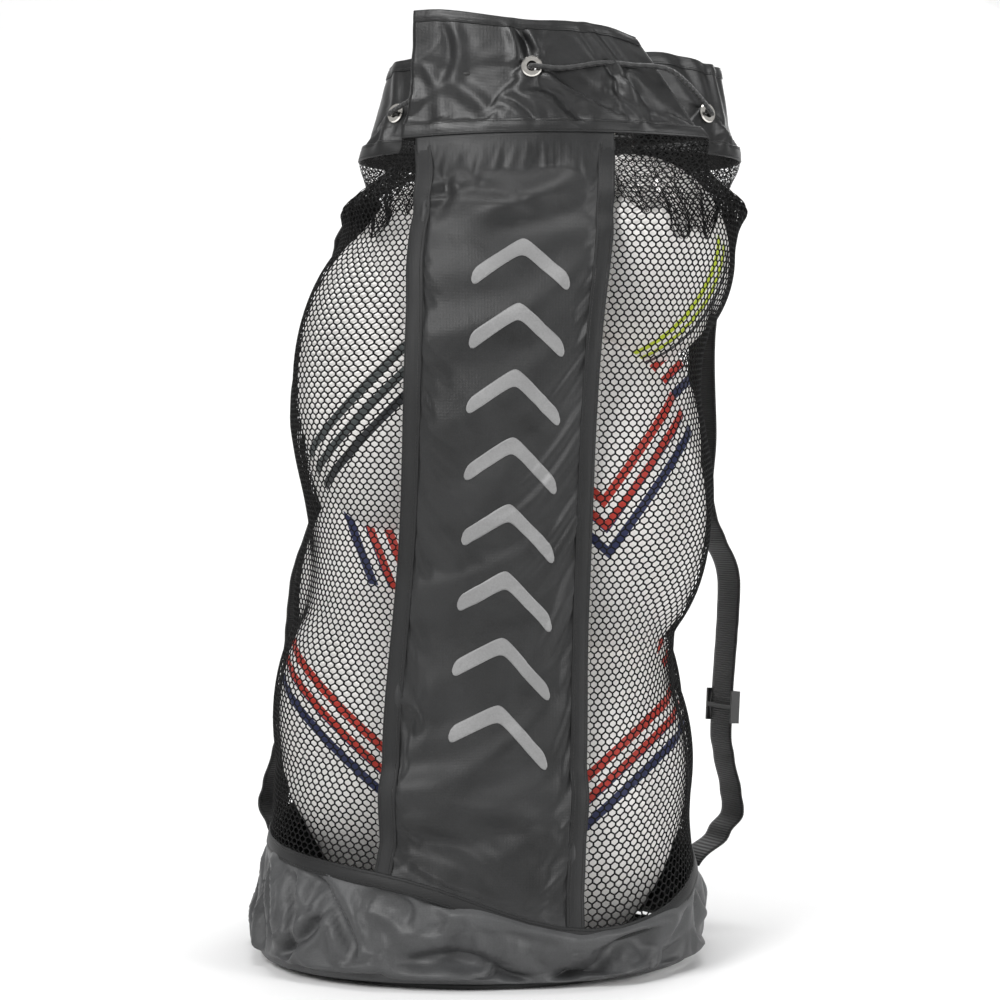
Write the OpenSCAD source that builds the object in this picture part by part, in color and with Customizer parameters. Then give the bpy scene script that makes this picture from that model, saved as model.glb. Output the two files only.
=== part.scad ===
// Mesh ball bag: a tall drawstring sack with net sides, nylon front and back panels,
// a stiffened drum base, an eyeleted collar, a drawcord with a lock, and two shoulder straps.
// The origin is the centre of the base's underside, +Z is up, and the front panel faces -Y.

/* [Bag] */
// Height of the rim above the ground
bag_h = 808; // [760:1:860]
// Height of the seam where the collar starts
neck_h = 712; // [690:1:730]
// Sideways lean of the loaded bag, in millimetres for each millimetre of height
lean = 0.09; // [0:0.01:0.12]
// Squareness of the plan section, where 2 is an ellipse and more is squarer
squareness = 2.5; // [2:0.1:3]

/* [Base] */
// Radius of the stitched bottom edge
base_r = 190; // [180:1:200]
// Middle height of the seam between the base and the net
seam_mid_h = 90; // [85:1:100]
// How far that seam rises and dips round the base
seam_wave = 16; // [10:1:20]
// Direction in which the base seam is highest, in degrees from +X
seam_high_dir = 130; // [90:5:180]
// Depth of the slump in that seam below the panel's right edge
seam_slump = 38; // [0:1:42]
// Direction of the slump, in degrees from +X
seam_slump_dir = 297; // [280:1:310]
// Thickness of the stiffening board in the base
board_t = 3; // [2:0.5:5]
// Radius of the piping round the bottom edge
piping_r = 3; // [2:0.5:4]

/* [Fabric] */
// Thickness of the nylon and net layers
cloth_t = 1.6; // [1.2:0.1:2]
// Thickness of the tapes and bindings
tape_t = 1.2; // [0.8:0.1:1.6]
// Width of the front panel's binding tapes
binding_w = 15; // [10:1:18]
// Width of the back panel
back_panel_w = 170; // [140:5:200]

/* [Collar] */
// Height of the gathered band between the panels and the collar
gather_h = 15; // [12:1:18]
// Width of the front flap at the collar seam
flap_seam_w = 264; // [240:2:270]
// Width of the front flap at the rim
flap_rim_w = 190; // [160:2:200]
// Width of the back lobe at the collar seam
lobe_seam_w = 350; // [330:5:360]
// Width of the back lobe at the rim
lobe_rim_w = 304; // [280:2:320]
// Height of the seam tape and of the rim hem
hem_h = 14; // [10:1:16]

/* [Cord] */
// Diameter of the braided cord
cord_d = 4.6; // [4:0.1:5]
// Outer diameter of an eyelet's flange
eyelet_d = 18; // [16:1:20]
// Diameter of an eyelet's hole
eyelet_hole_d = 9; // [8:0.5:10]
// Length of the free cord tails
tail_l = 190; // [160:10:200]
// Diameter of the cord lock's barrel
lock_d = 17; // [16:0.5:20]
// Length of the cord lock's barrel
lock_l = 30; // [30:1:34]
// Travel of the cord lock's button
button_travel = 4; // [3:0.5:5]

/* [Straps] */
// Width of the strap webbing
strap_w = 38; // [30:1:40]
// Thickness of the strap webbing
strap_t = 2; // [1.6:0.2:2.4]
// How far the straps stand off the bag beside their sliders
strap_bow = 36; // [34:1:40]
// Width of the slider's frame
slider_w = 48; // [46:1:54]
// Length of the slider's frame
slider_l = 30; // [26:1:34]

/* [Hidden] */

black_cloth = [0.09, 0.09, 0.10];
grey_cloth = [0.16, 0.16, 0.17];
net_black = [0.05, 0.05, 0.05];
tape_black = [0.06, 0.06, 0.06];
print_silver = [0.62, 0.62, 0.63];
nickel = [0.75, 0.74, 0.72];
lock_black = [0.04, 0.04, 0.04];

layer_gap = 1.8;
tape_out = cloth_t + layer_gap;
panel_top = neck_h - gather_h - 1;
seam_clear = 9;
wall_rows = 18;
collar_low = neck_h + 1;

// ---------------------------------------------------------------- smooth profiles

function ease(t) = t * t * (3 - 2 * t);
function mix(a, b, t) = a + (b - a) * t;

// Value at height z of a profile that has level crests and hollows at its [height, value] keys
function profile(keys, z, i = 0) =
    z <= keys[0][0] ? keys[0][1]
    : i >= len(keys) - 1 ? keys[len(keys) - 1][1]
    : z <= keys[i + 1][0]
        ? mix(keys[i][1], keys[i + 1][1], ease((z - keys[i][0]) / (keys[i + 1][0] - keys[i][0])))
    : profile(keys, z, i + 1);

// Half widths of the loaded bag. Crests are where a ball presses, hollows are between balls.
left_keys = [[0, base_r], [42, 203], [120, 191], [200, 199], [345, 187], [490, 219], [690, 178]];
right_keys = [[0, base_r], [45, 199], [105, 178], [154, 177], [277, 158], [395, 185],
              [512, 161], [652, 186], [700, 178]];
front_keys = [[0, base_r], [40, 199], [130, 180], [300, 172], [500, 178], [600, 172], [705, 116]];
back_keys = [[0, base_r], [42, 200], [140, 183], [400, 180], [600, 172], [705, 150]];

function lean_x(z) = lean * z;
function half_x(z, to_right) = profile(to_right ? right_keys : left_keys, z);
function half_y(z, to_back) = profile(to_back ? back_keys : front_keys, z);

// Distance from the leaning axis to the wall in direction a at height z
function wall_r(a, z) = pow(
    pow(abs(cos(a)) / half_x(z, cos(a) > 0), squareness)
    + pow(abs(sin(a)) / half_y(z, sin(a) > 0), squareness), -1 / squareness);

// Direction of the wall's point that lies x to the right of the axis, on the front or the back
function wall_dir(x, z, to_back) =
    let (share = pow(abs(x) / half_x(z, x > 0), squareness),
         y = half_y(z, to_back) * pow(1 - share, 1 / squareness))
    (atan2(to_back ? y : -y, x) + 360) % 360;

function wall_point(a, z, out) =
    [lean_x(z) + (wall_r(a, z) + out) * cos(a), (wall_r(a, z) + out) * sin(a), z];

// Height of the seam between the base and the net in direction a
function seam_h(a) = seam_mid_h + seam_wave * cos(a - seam_high_dir)
    - seam_slump * pow(max(0, cos(a - seam_slump_dir)), 6);

// ---------------------------------------------------------------- sheet of cloth

// A closed sheet between an inner and an outer face. point(u, v, out) gives each face's place for
// u across and v up, both from 0 to 1. A ring joins its last column to its first.
module sheet(cols, rows, inner, outer, ring = false, point) {
    n = ring ? cols : cols + 1;
    function index(i, j, s) = ((i % n) * (rows + 1) + j) * 2 + s;
    function quad(a, b, c, d) = [[a, b, c], [a, c, d]];
    points = [for (i = [0 : n - 1]) for (j = [0 : rows]) for (out = [inner, outer])
        point(i / cols, j / rows, out)];
    skins = [for (i = [0 : cols - 1]) for (j = [0 : rows - 1]) for (f = concat(
        quad(index(i, j, 1), index(i, j + 1, 1), index(i + 1, j + 1, 1), index(i + 1, j, 1)),
        quad(index(i, j, 0), index(i + 1, j, 0), index(i + 1, j + 1, 0), index(i, j + 1, 0)))) f];
    hems = [for (i = [0 : cols - 1]) for (f = concat(
        quad(index(i, 0, 0), index(i, 0, 1), index(i + 1, 0, 1), index(i + 1, 0, 0)),
        quad(index(i, rows, 1), index(i, rows, 0), index(i + 1, rows, 0), index(i + 1, rows, 1))
        )) f];
    sides = ring ? [] : [for (j = [0 : rows - 1]) for (f = concat(
        quad(index(0, j, 0), index(0, j + 1, 0), index(0, j + 1, 1), index(0, j, 1)),
        quad(index(cols, j, 1), index(cols, j + 1, 1), index(cols, j + 1, 0), index(cols, j, 0))
        )) f];
    polyhedron(points, concat(skins, hems, sides), convexity = 6);
}

// A sheet of the bag's wall between two edges, each a function of height that gives a direction,
// from the base seam up to the neck
module wall_sheet(cols, from_dir, to_dir, inner, outer, top = panel_top) {
    sheet(cols, wall_rows, inner, outer, point = function(u, v, out)
        let (z0 = mix(seam_mid_h, top, v),
             a = mix(from_dir(z0), to_dir(z0), u),
             z = mix(seam_h(a) + seam_clear, top, v))
        wall_point(a, z, out));
}

// ---------------------------------------------------------------- panel edges

// The front panel is drawn straighter than the bag, so its edges cross the leaning net
panel_left_low = -90;
panel_left_high = -113;
panel_right_low = 82;
panel_right_high = 56;
function panel_edge(low, high, z) = mix(low, high, ease(z / neck_h));
function front_left_dir(z, shift = 0) =
    wall_dir(panel_edge(panel_left_low, panel_left_high, z) + shift, z, false);
function front_right_dir(z, shift = 0) =
    wall_dir(panel_edge(panel_right_low, panel_right_high, z) + shift, z, false);
function back_left_dir(z, shift = 0) = wall_dir(-back_panel_w / 2 + shift, z, true);
function back_right_dir(z, shift = 0) = wall_dir(back_panel_w / 2 + shift, z, true);

edge_gap = 0.6;
full_turn = 360;

// ---------------------------------------------------------------- base

base_t = 1.2;
wall_low = 2 * piping_r + 1;

module base_disc() {
    color(grey_cloth)
        cylinder(r = base_r - 2 * piping_r - 1, h = base_t, $fn = 96);
}

module base_board() {
    color("dimgray")
        translate([0, 0, base_t + 0.3])
            cylinder(r = base_r - 2 * piping_r - 6, h = board_t, $fn = 96);
}

module base_piping() {
    color(tape_black)
        rotate_extrude($fn = 96)
            translate([base_r - piping_r, piping_r])
                circle(r = piping_r, $fn = 24);
}

module base_wall() {
    color(grey_cloth)
        sheet(36, 4, 0, cloth_t, ring = true, point = function(u, v, out)
            let (a = u * full_turn)
            wall_point(a, mix(wall_low, seam_h(a) + seam_clear - 1, v), out));
}

// Taped seam, stitched over the join of the base and the net
tape_below = 6;
tape_above = 6;
module base_hem_tape() {
    color(tape_black)
        sheet(48, 1, tape_out, tape_out + tape_t, ring = true,
            point = function(u, v, out)
                let (a = u * full_turn)
                wall_point(a, seam_h(a) + seam_clear + mix(-tape_below, tape_above, v), out));
}

// ---------------------------------------------------------------- panels and nets

module front_panel() {
    color(black_cloth)
        wall_sheet(6, function(z) front_left_dir(z, edge_gap),
            function(z) front_right_dir(z, -edge_gap), 0, cloth_t);
}

module back_panel() {
    color(black_cloth)
        wall_sheet(6, function(z) back_right_dir(z, -edge_gap),
            function(z) back_left_dir(z, edge_gap), 0, cloth_t);
}

module net_left() {
    color(net_black)
        wall_sheet(12, function(z) back_left_dir(z, -edge_gap),
            function(z) front_left_dir(z, -edge_gap), 0, cloth_t);
}

module net_right() {
    color(net_black)
        wall_sheet(12, function(z) front_right_dir(z, edge_gap),
            function(z) back_right_dir(z, edge_gap) + full_turn, 0, cloth_t);
}

// Tape folded over a panel's edge. It stops short of the base tape.
module binding(edge) {
    color(tape_black)
        sheet(2, wall_rows, tape_out, tape_out + tape_t, point = function(u, v, out)
            let (z = mix(seam_mid_h + seam_wave + seam_clear + tape_above + 2, panel_top - 1, v))
            wall_point(mix(edge(z, -binding_w / 2), edge(z, binding_w / 2), u), z, out));
}

module binding_front_left() {
    binding(function(z, shift) front_left_dir(z, shift));
}

module binding_front_right() {
    binding(function(z, shift) front_right_dir(z, shift));
}

module binding_back_left() {
    binding(function(z, shift) back_left_dir(z, -shift));
}

module binding_back_right() {
    binding(function(z, shift) back_right_dir(z, -shift));
}

// A plain column of chevron bars printed up the front panel
motif_count = 7;
motif_low = 170;
motif_pitch = 68;
motif_w = 76;
motif_bar = 15;
motif_rise = 26;
motif_t = 0.5;
module front_motif() {
    function bar_x(u, z) = mix(panel_edge(panel_left_low, panel_left_high, z),
        panel_edge(panel_right_low, panel_right_high, z), 0.56) + mix(-motif_w, motif_w, u) / 2;
    color(print_silver)
        for (k = [0 : motif_count - 1])
            sheet(8, 1, tape_out, tape_out + motif_t, point = function(u, v, out)
                let (z = motif_low + k * motif_pitch + v * motif_bar
                         + motif_rise * (1 - abs(2 * u - 1)))
                wall_point(wall_dir(bar_x(u, z), z, false), z, out));
}

// Net drawn together under the collar
module neck_gather() {
    color(net_black)
        sheet(36, 1, 0, cloth_t, ring = true, point = function(u, v, out)
            wall_point(u * full_turn, mix(panel_top + 1, neck_h - 0.5, v), out));
}

// ---------------------------------------------------------------- collar

// Plan of the collar at height share v: the front flap hangs before a wider back lobe
collar_h = bag_h - collar_low;
function collar_z(v) = collar_low + collar_h * v;
flap_x_low = 69;
flap_x_high = 43;
flap_y_side = -78;
flap_bow_low = 34;
flap_bow_high = 24;
flap_rise = 8;
flap_tilt = 10;
lobe_drop = 6;
lobe_x_low = 67;
lobe_x_high = 72;
lobe_y = 62;
lobe_depth_low = 88;
lobe_depth_high = 80;
lobe_from = -64;
lobe_to = 242;

function flap_point(u, v, out) =
    let (side = 2 * u - 1,
         x = mix(flap_x_low, flap_x_high, v) + side * mix(flap_seam_w, flap_rim_w, v) / 2,
         y = flap_y_side - mix(flap_bow_low, flap_bow_high, v) * (1 - side * side),
         lift = v * (flap_rise - flap_tilt * side))
    [x + out * side * 0.5, y - out, collar_z(v) + lift];

function lobe_point(u, v, out) =
    let (a = mix(lobe_from, lobe_to, u),
         rx = mix(lobe_seam_w, lobe_rim_w, v) / 2 + out,
         ry = mix(lobe_depth_low, lobe_depth_high, v) + out)
    [mix(lobe_x_low, lobe_x_high, v) + rx * cos(a), lobe_y + ry * sin(a),
     collar_z(v) - lobe_drop * v];

lobe_cols = 30;
flap_cols = 8;

// An eyelet sits square to the cloth: its outward direction comes from steps across and up
lobe_eyelet_v = 0.42;
lobe_eyelet_us = [0.10, 0.44, 0.56, 0.90];
flap_eyelet_v = 0.54;
flap_eyelet_u = 0.47;
eyelet_bore_d = eyelet_hole_d + 3;
cloth_step = 0.01;
function unit(a) = a / norm(a);
function cloth_out(place, u, v) = unit(cross(
    place(u + cloth_step, v) - place(u - cloth_step, v),
    place(u, v + cloth_step) - place(u, v - cloth_step)));
function lobe_place(u) = lobe_point(u, lobe_eyelet_v, cloth_t / 2);
function lobe_out(u) = cloth_out(function(u, v) lobe_point(u, v, 0), u, lobe_eyelet_v);
flap_place = flap_point(flap_eyelet_u, flap_eyelet_v, cloth_t / 2);
flap_out = cloth_out(function(u, v) flap_point(u, v, 0), flap_eyelet_u, flap_eyelet_v);

module facing(place, out) {
    translate(place)
        rotate([0, 0, atan2(out[1], out[0])])
            rotate([0, acos(out[2]), 0])
                children();
}

module at_lobe_eyelets() {
    for (u = lobe_eyelet_us)
        facing(lobe_place(u), lobe_out(u))
            children();
}

module at_flap_eyelet() {
    facing(flap_place, flap_out)
        children();
}

module eyelet_bore() {
    cylinder(d = eyelet_bore_d, h = 16, center = true, $fn = 32);
}

module collar_flap() {
    color(grey_cloth)
        difference() {
            sheet(flap_cols, 3, 0, cloth_t, point = function(u, v, out) flap_point(u, v, out));
            at_flap_eyelet() eyelet_bore();
        }
}

module collar_lobe() {
    color(grey_cloth)
        difference() {
            sheet(lobe_cols, 3, 0, cloth_t, point = function(u, v, out) lobe_point(u, v, out));
            at_lobe_eyelets() eyelet_bore();
        }
}

// Two tapes on a collar piece: one over the neck seam and one at the rim
module collar_tapes(cols, place) {
    share = hem_h / collar_h;
    color(tape_black)
        for (low = [0.01, 0.99 - share])
            sheet(cols, 1, tape_out, tape_out + tape_t,
                point = function(u, v, out) place(u, mix(low, low + share, v), out));
}

module collar_flap_tapes() {
    collar_tapes(flap_cols, function(u, v, out) flap_point(u, v, out));
}

module collar_lobe_tapes() {
    collar_tapes(lobe_cols, function(u, v, out) lobe_point(u, v, out));
}

// ---------------------------------------------------------------- eyelets

flange_gap = 2.4;
flange_t = 1;
barrel_wall = 1.1;

// Rolled barrel with its outer flange
module eyelet_barrel() {
    rotate_extrude($fn = 48)
        polygon([
            [eyelet_hole_d / 2, -flange_gap], [eyelet_hole_d / 2 + barrel_wall, -flange_gap],
            [eyelet_hole_d / 2 + barrel_wall, flange_gap], [eyelet_d / 2, flange_gap],
            [eyelet_d / 2 - 1, flange_gap + flange_t], [eyelet_hole_d / 2, flange_gap + flange_t]
        ]);
}

// Flat washer behind the cloth, with running room round the barrel
module eyelet_washer() {
    rotate_extrude($fn = 48)
        translate([eyelet_hole_d / 2 + barrel_wall + 0.1, -flange_gap - flange_t])
            square([(eyelet_d - eyelet_hole_d) / 2 - barrel_wall - 0.1, flange_t]);
}

module flap_eyelet_barrel() {
    color(nickel) at_flap_eyelet() eyelet_barrel();
}

module flap_eyelet_washer() {
    color(nickel) at_flap_eyelet() eyelet_washer();
}

module lobe_eyelet_barrels() {
    color(nickel) at_lobe_eyelets() eyelet_barrel();
}

module lobe_eyelet_washers() {
    color(nickel) at_lobe_eyelets() eyelet_washer();
}

// ---------------------------------------------------------------- cord

// A round cord along a line of points, as a closed tube of short straight pieces
module cord(points, d = cord_d, sides = 8) {
    last = len(points) - 1;
    function heading(i) =
        let (d = points[min(i + 1, last)] - points[max(i - 1, 0)]) d / norm(d);
    function ring_point(i, k) =
        let (along = heading(i),
             flat = norm([along[0], along[1]]),
             side = flat < 0.01 ? [1, 0, 0] : [-along[1], along[0], 0] / flat,
             up = cross(along, side),
             a = k * full_turn / sides)
        points[i] + d / 2 * (cos(a) * side + sin(a) * up);
    walls = [for (i = [0 : last - 1]) for (k = [0 : sides - 1])
        let (n = (k + 1) % sides, a = i * sides + k, b = i * sides + n)
        each [[a, b, b + sides], [a, b + sides, a + sides]]];
    caps = [[for (k = [0 : sides - 1]) sides - 1 - k], [for (k = [0 : sides - 1]) last * sides + k]];
    polyhedron([for (i = [0 : last]) for (k = [0 : sides - 1]) ring_point(i, k)],
        concat(walls, caps), convexity = 8);
}

// The tails leave the two back eyelets, meet above the cord lock and hang down the back panel
tail_tilt = 11.5;
tail_side = cord_d / 2 + 0.3;
tail_top = lobe_point(0.5, 0.17, 20);
tail_down = [0, sin(tail_tilt), -cos(tail_tilt)];
lead_gap = 0.6;

// How far the cord's axis keeps from the cloth outside and inside the collar
cord_out = 8;
cord_in = -9;
cord_turn = 7;
lead_out = 11;

function through_lobe(u, side) =
    [for (d = [-cord_turn, cord_turn]) lobe_place(u) + side * d * lobe_out(u)];
function inside_lobe(from_u, to_u, steps) =
    [for (i = [1 : steps - 1]) lobe_point(mix(from_u, to_u, i / steps), lobe_eyelet_v, cord_in)];

// From a tail up to its back eyelet and through it
function lead(u, side) = [
    tail_top + [side * tail_side, 0, lead_gap],
    tail_top + [side * tail_side, 0, lead_gap + 5],
    mix(lobe_place(u) + lead_out * lobe_out(u), tail_top, 0.6) + [0, 1, 5],
    lobe_place(u) + lead_out * lobe_out(u),
    lobe_place(u) - cord_turn * lobe_out(u)
];

// The cord runs from one tail to the other. It is inside the back of the lobe, outside the
// flap's right half, and behind the flap's left half.
module draw_cord() {
    us = lobe_eyelet_us;
    color(net_black)
        cord(concat(
            lead(us[1], 1),
            inside_lobe(us[1], us[0], 14),
            through_lobe(us[0], 1),
            [for (u = [1.04, 0.86, 0.72]) flap_point(u, 0.62, cord_out)],
            [flap_point(0.58, 0.58, cord_out)],
            [for (d = [cord_turn, -cord_turn]) flap_place + d * flap_out],
            [for (u = [0.34, 0.18]) flap_point(u, 0.5, cord_in)],
            through_lobe(us[3], -1),
            inside_lobe(us[3], us[2], 14),
            [for (i = [4 : -1 : 0]) lead(us[2], -1)[i]]));
}

module along_tail(distance) {
    translate(tail_top + distance * tail_down)
        rotate([tail_tilt, 0, 0])
            children();
}

module cord_tails() {
    color(net_black)
        for (side = [-1, 1])
            along_tail(tail_l)
                translate([side * tail_side, 0, 0])
                    cylinder(d = cord_d, h = tail_l, $fn = 24);
}

knot_d = 12;
module cord_knots() {
    color(net_black)
        along_tail(tail_l + knot_d / 2 + 0.1)
            difference() {
                sphere(d = knot_d + 2, $fn = 32);
                translate([0, 0, knot_d])
                    cube([2 * knot_d, 2 * knot_d, knot_d], center = true);
            }
}

// ---------------------------------------------------------------- cord lock

lock_at = 42;
bore_gap = 0.08;
button_d = 12;
button_head_d = 15;
button_head_l = 5;
lock_mouth_x = 12;
lock_floor = 2;
slot_w = 2 * tail_side + cord_d + 0.8;
slot_h = cord_d + 0.8;
button_in_x = -slot_w / 2 - 2.4;

module along_lock() {
    along_tail(lock_at)
        rotate([0, 90, 0])
            children();
}

module cord_slot(from_x, to_x) {
    translate([-lock_d, -slot_h / 2, from_x])
        cube([2 * lock_d, slot_h, to_x - from_x]);
}

module cord_lock_barrel() {
    low = lock_mouth_x - lock_l;
    color(lock_black)
        along_lock()
            difference() {
                rotate_extrude($fn = 48)
                    polygon([[0, low], [lock_d / 2 - 2, low], [lock_d / 2, low + 2],
                        [lock_d / 2, lock_mouth_x - 1], [lock_d / 2 - 1, lock_mouth_x],
                        [0, lock_mouth_x]]);
                translate([0, 0, low + lock_floor])
                    cylinder(d = button_d + 2 * bore_gap, h = lock_l, $fn = 48);
                cord_slot(-slot_w / 2, slot_w / 2);
            }
}

module cord_lock_button() {
    head = lock_mouth_x + button_travel + 0.4;
    color(lock_black)
        along_lock()
            difference() {
                union() {
                    translate([0, 0, button_in_x])
                        cylinder(d = button_d, h = head - button_in_x, $fn = 48);
                    rotate_extrude($fn = 48)
                        polygon([[0, head], [button_head_d / 2, head],
                            [button_head_d / 2, head + button_head_l - 1.5],
                            [button_head_d / 2 - 1.5, head + button_head_l],
                            [0, head + button_head_l]]);
                }
                cord_slot(-slot_w / 2 - 0.4, slot_w / 2 + button_travel + 0.4);
            }
}

spring_wire_d = 0.8;
spring_turns = 3;
spring_steps = 14;
module cord_lock_spring() {
    from_x = lock_mouth_x - lock_l + lock_floor + spring_wire_d / 2 + 0.2;
    to_x = button_in_x - spring_wire_d / 2 - 0.2;
    coil_r = button_d / 2 - 1.6;
    color("silver")
        along_lock()
            cord([for (i = [0 : spring_turns * spring_steps])
                let (a = i * full_turn / spring_steps)
                [coil_r * cos(a), coil_r * sin(a),
                 mix(from_x, to_x, i / (spring_turns * spring_steps))]],
                d = spring_wire_d, sides = 6);
}

// ---------------------------------------------------------------- straps

// Each strap hangs in an upright plane between its base tab and its top tab
strap_low_h = 60;
strap_high_h = 668;
right_plane = 24;
right_top = 32;
left_plane = 142;
left_top = 152;
strap_end_out = 16;
strap_top_out = strap_end_out + 4;
left_strap_keys = [[0, strap_end_out], [0.07, strap_bow + 16], [0.2, strap_bow],
                   [0.45, strap_bow], [0.75, strap_bow + 8], [1, strap_top_out]];
right_strap_keys = [[0, strap_end_out], [0.07, strap_bow + 16], [0.2, strap_bow],
                    [0.45, strap_bow], [0.6, 15], [0.8, 14], [1, strap_top_out]];
tab_h = 30;
tab_half_turn = 5.4;

// Offset of the top tab from the base tab, outward along the strap's plane
function top_shift(plane, top_dir) =
    (wall_point(top_dir, strap_high_h, 0) - wall_point(plane, strap_low_h, 0))
    * [cos(plane), sin(plane), 0];
function strap_path(v, shift, keys) =
    [mix(0, shift, v) + profile(keys, v), mix(strap_low_h, strap_high_h, v)];

module strap_plane(plane) {
    low = wall_point(plane, strap_low_h, 0);
    translate([low[0], low[1], 0])
        rotate([90, 0, plane])
            children();
}

strap_steps = 26;
heading_step = 0.01;
module webbing(plane, top_dir, keys) {
    shift = top_shift(plane, top_dir);
    function heading(v) = unit(strap_path(min(v + heading_step, 1), shift, keys)
        - strap_path(max(v - heading_step, 0), shift, keys));
    function edge_point(v, side) =
        strap_path(v, shift, keys) + side * strap_t / 2 * [heading(v)[1], -heading(v)[0]];
    color(tape_black)
        strap_plane(plane)
            linear_extrude(height = strap_w, center = true)
                polygon(concat(
                    [for (i = [0 : strap_steps]) edge_point(i / strap_steps, 1)],
                    [for (i = [strap_steps : -1 : 0]) edge_point(i / strap_steps, -1)]));
}

// Slider frame: two end bars outside the webbing and a middle bar behind it
slider_at = 0.24;
slider_bar = 3;
module slider(plane, top_dir, keys) {
    shift = top_shift(plane, top_dir);
    tilt = atan2(-shift, strap_high_h - strap_low_h);
    place = strap_path(slider_at, shift, keys);
    clear = strap_t / 2 + 0.4;
    color(lock_black)
        strap_plane(plane)
            translate([place[0], place[1], 0])
                rotate([0, 0, tilt]) {
                    for (side = [-1, 1])
                        translate([0, 0, side * (slider_w - slider_bar) / 2])
                            cube([2 * (clear + slider_bar), slider_l, slider_bar], center = true);
                    for (along = [-1, 1])
                        translate([clear + slider_bar / 2, along * (slider_l - 4) / 2, 0])
                            cube([slider_bar, 4, slider_w], center = true);
                    translate([-clear - slider_bar / 2, 0, 0])
                        cube([slider_bar, 4, slider_w], center = true);
                }
}

// Patch sewn flat on the bag where a strap's end is stitched down
module tab(dir, mid_h) {
    color(tape_black)
        sheet(2, 2, tape_out, tape_out + tape_t, point = function(u, v, out)
            wall_point(dir + mix(-tab_half_turn, tab_half_turn, u),
                mid_h + mix(-tab_h, tab_h, v) / 2, out));
}

module strap_top_tabs() {
    tab(right_top, strap_high_h);
    tab(left_top, strap_high_h);
}

module strap_base_tabs() {
    tab(right_plane, strap_low_h);
    tab(left_plane, strap_low_h);
}

module strap_left_webbing() {
    webbing(left_plane, left_top, left_strap_keys);
}

module strap_left_slider() {
    slider(left_plane, left_top, left_strap_keys);
}

module strap_right_webbing() {
    webbing(right_plane, right_top, right_strap_keys);
}

module strap_right_slider() {
    slider(right_plane, right_top, right_strap_keys);
}

// ---------------------------------------------------------------- assembly

base_disc();
base_board();
base_piping();
base_wall();
base_hem_tape();
front_panel();
front_motif();
back_panel();
net_left();
net_right();
binding_front_left();
binding_front_right();
binding_back_left();
binding_back_right();
neck_gather();
collar_lobe();
collar_lobe_tapes();
collar_flap();
collar_flap_tapes();
flap_eyelet_barrel();
flap_eyelet_washer();
lobe_eyelet_barrels();
lobe_eyelet_washers();
draw_cord();
cord_tails();
cord_knots();
cord_lock_barrel();
cord_lock_button();
cord_lock_spring();
strap_top_tabs();
strap_base_tabs();
strap_left_webbing();
strap_left_slider();
strap_right_webbing();
strap_right_slider();
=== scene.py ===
"""Mesh ball bag: net, nylon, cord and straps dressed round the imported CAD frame.

Lengths are in metres and angles in radians unless a name says otherwise. Angles in plan count
from +X, and the front panel faces -Y.
"""
import math

import bmesh
import bpy
import numpy as np
from mathutils import Matrix, Vector
from mathutils.bvhtree import BVHTree


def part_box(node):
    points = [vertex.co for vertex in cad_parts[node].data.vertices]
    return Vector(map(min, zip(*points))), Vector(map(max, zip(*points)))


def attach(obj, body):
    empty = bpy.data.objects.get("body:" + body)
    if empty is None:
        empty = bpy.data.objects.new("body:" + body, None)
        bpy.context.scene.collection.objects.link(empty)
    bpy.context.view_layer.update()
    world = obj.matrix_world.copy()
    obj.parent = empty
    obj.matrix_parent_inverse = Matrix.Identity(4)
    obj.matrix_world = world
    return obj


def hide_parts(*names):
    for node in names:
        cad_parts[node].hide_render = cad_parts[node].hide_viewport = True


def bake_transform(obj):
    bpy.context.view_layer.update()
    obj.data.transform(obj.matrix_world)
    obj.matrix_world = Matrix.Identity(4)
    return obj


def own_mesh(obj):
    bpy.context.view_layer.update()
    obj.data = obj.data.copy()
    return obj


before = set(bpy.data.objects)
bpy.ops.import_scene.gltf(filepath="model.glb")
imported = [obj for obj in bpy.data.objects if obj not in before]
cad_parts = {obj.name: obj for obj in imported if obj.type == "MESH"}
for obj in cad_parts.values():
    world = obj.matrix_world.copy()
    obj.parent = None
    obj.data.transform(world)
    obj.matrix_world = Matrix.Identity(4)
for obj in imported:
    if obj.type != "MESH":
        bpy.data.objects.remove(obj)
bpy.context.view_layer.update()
MM = 0.001
TURN = 2 * math.pi
CLOTH = 0.7 * MM

# --- sizes taken from the frame


def node_points(name):
    """Vertices of a CAD node as an array."""
    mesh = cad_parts[name].data
    points = np.empty(len(mesh.vertices) * 3)
    mesh.vertices.foreach_get("co", points)
    return points.reshape(-1, 3)


def box_of(name):
    low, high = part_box(name)
    return np.array(low), np.array(high)


def span_at(name, height, slack=6 * MM):
    """Lowest and highest corners of a node's vertices near one height."""
    points = node_points(name)
    near = points[np.abs(points[:, 2] - height) < slack]
    return near.min(0), near.max(0)


neck_low, neck_high = box_of("neck_gather")
NECK_Z = neck_high[2] + 0.5 * MM
LEAN = 0.5 * (neck_low[0] + neck_high[0]) / NECK_Z
COLLAR_Z = NECK_Z + 0.5 * MM


# --- small helpers


def ease(t):
    t = np.clip(t, 0.0, 1.0)
    return t * t * (3.0 - 2.0 * t)


def mix(a, b, t):
    return a + (b - a) * t


def bell(distance, width):
    return np.exp(-((distance / width) ** 2))


def unit(vectors):
    length = np.linalg.norm(vectors, axis=-1, keepdims=True)
    return vectors / np.maximum(length, 1e-12)


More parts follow.
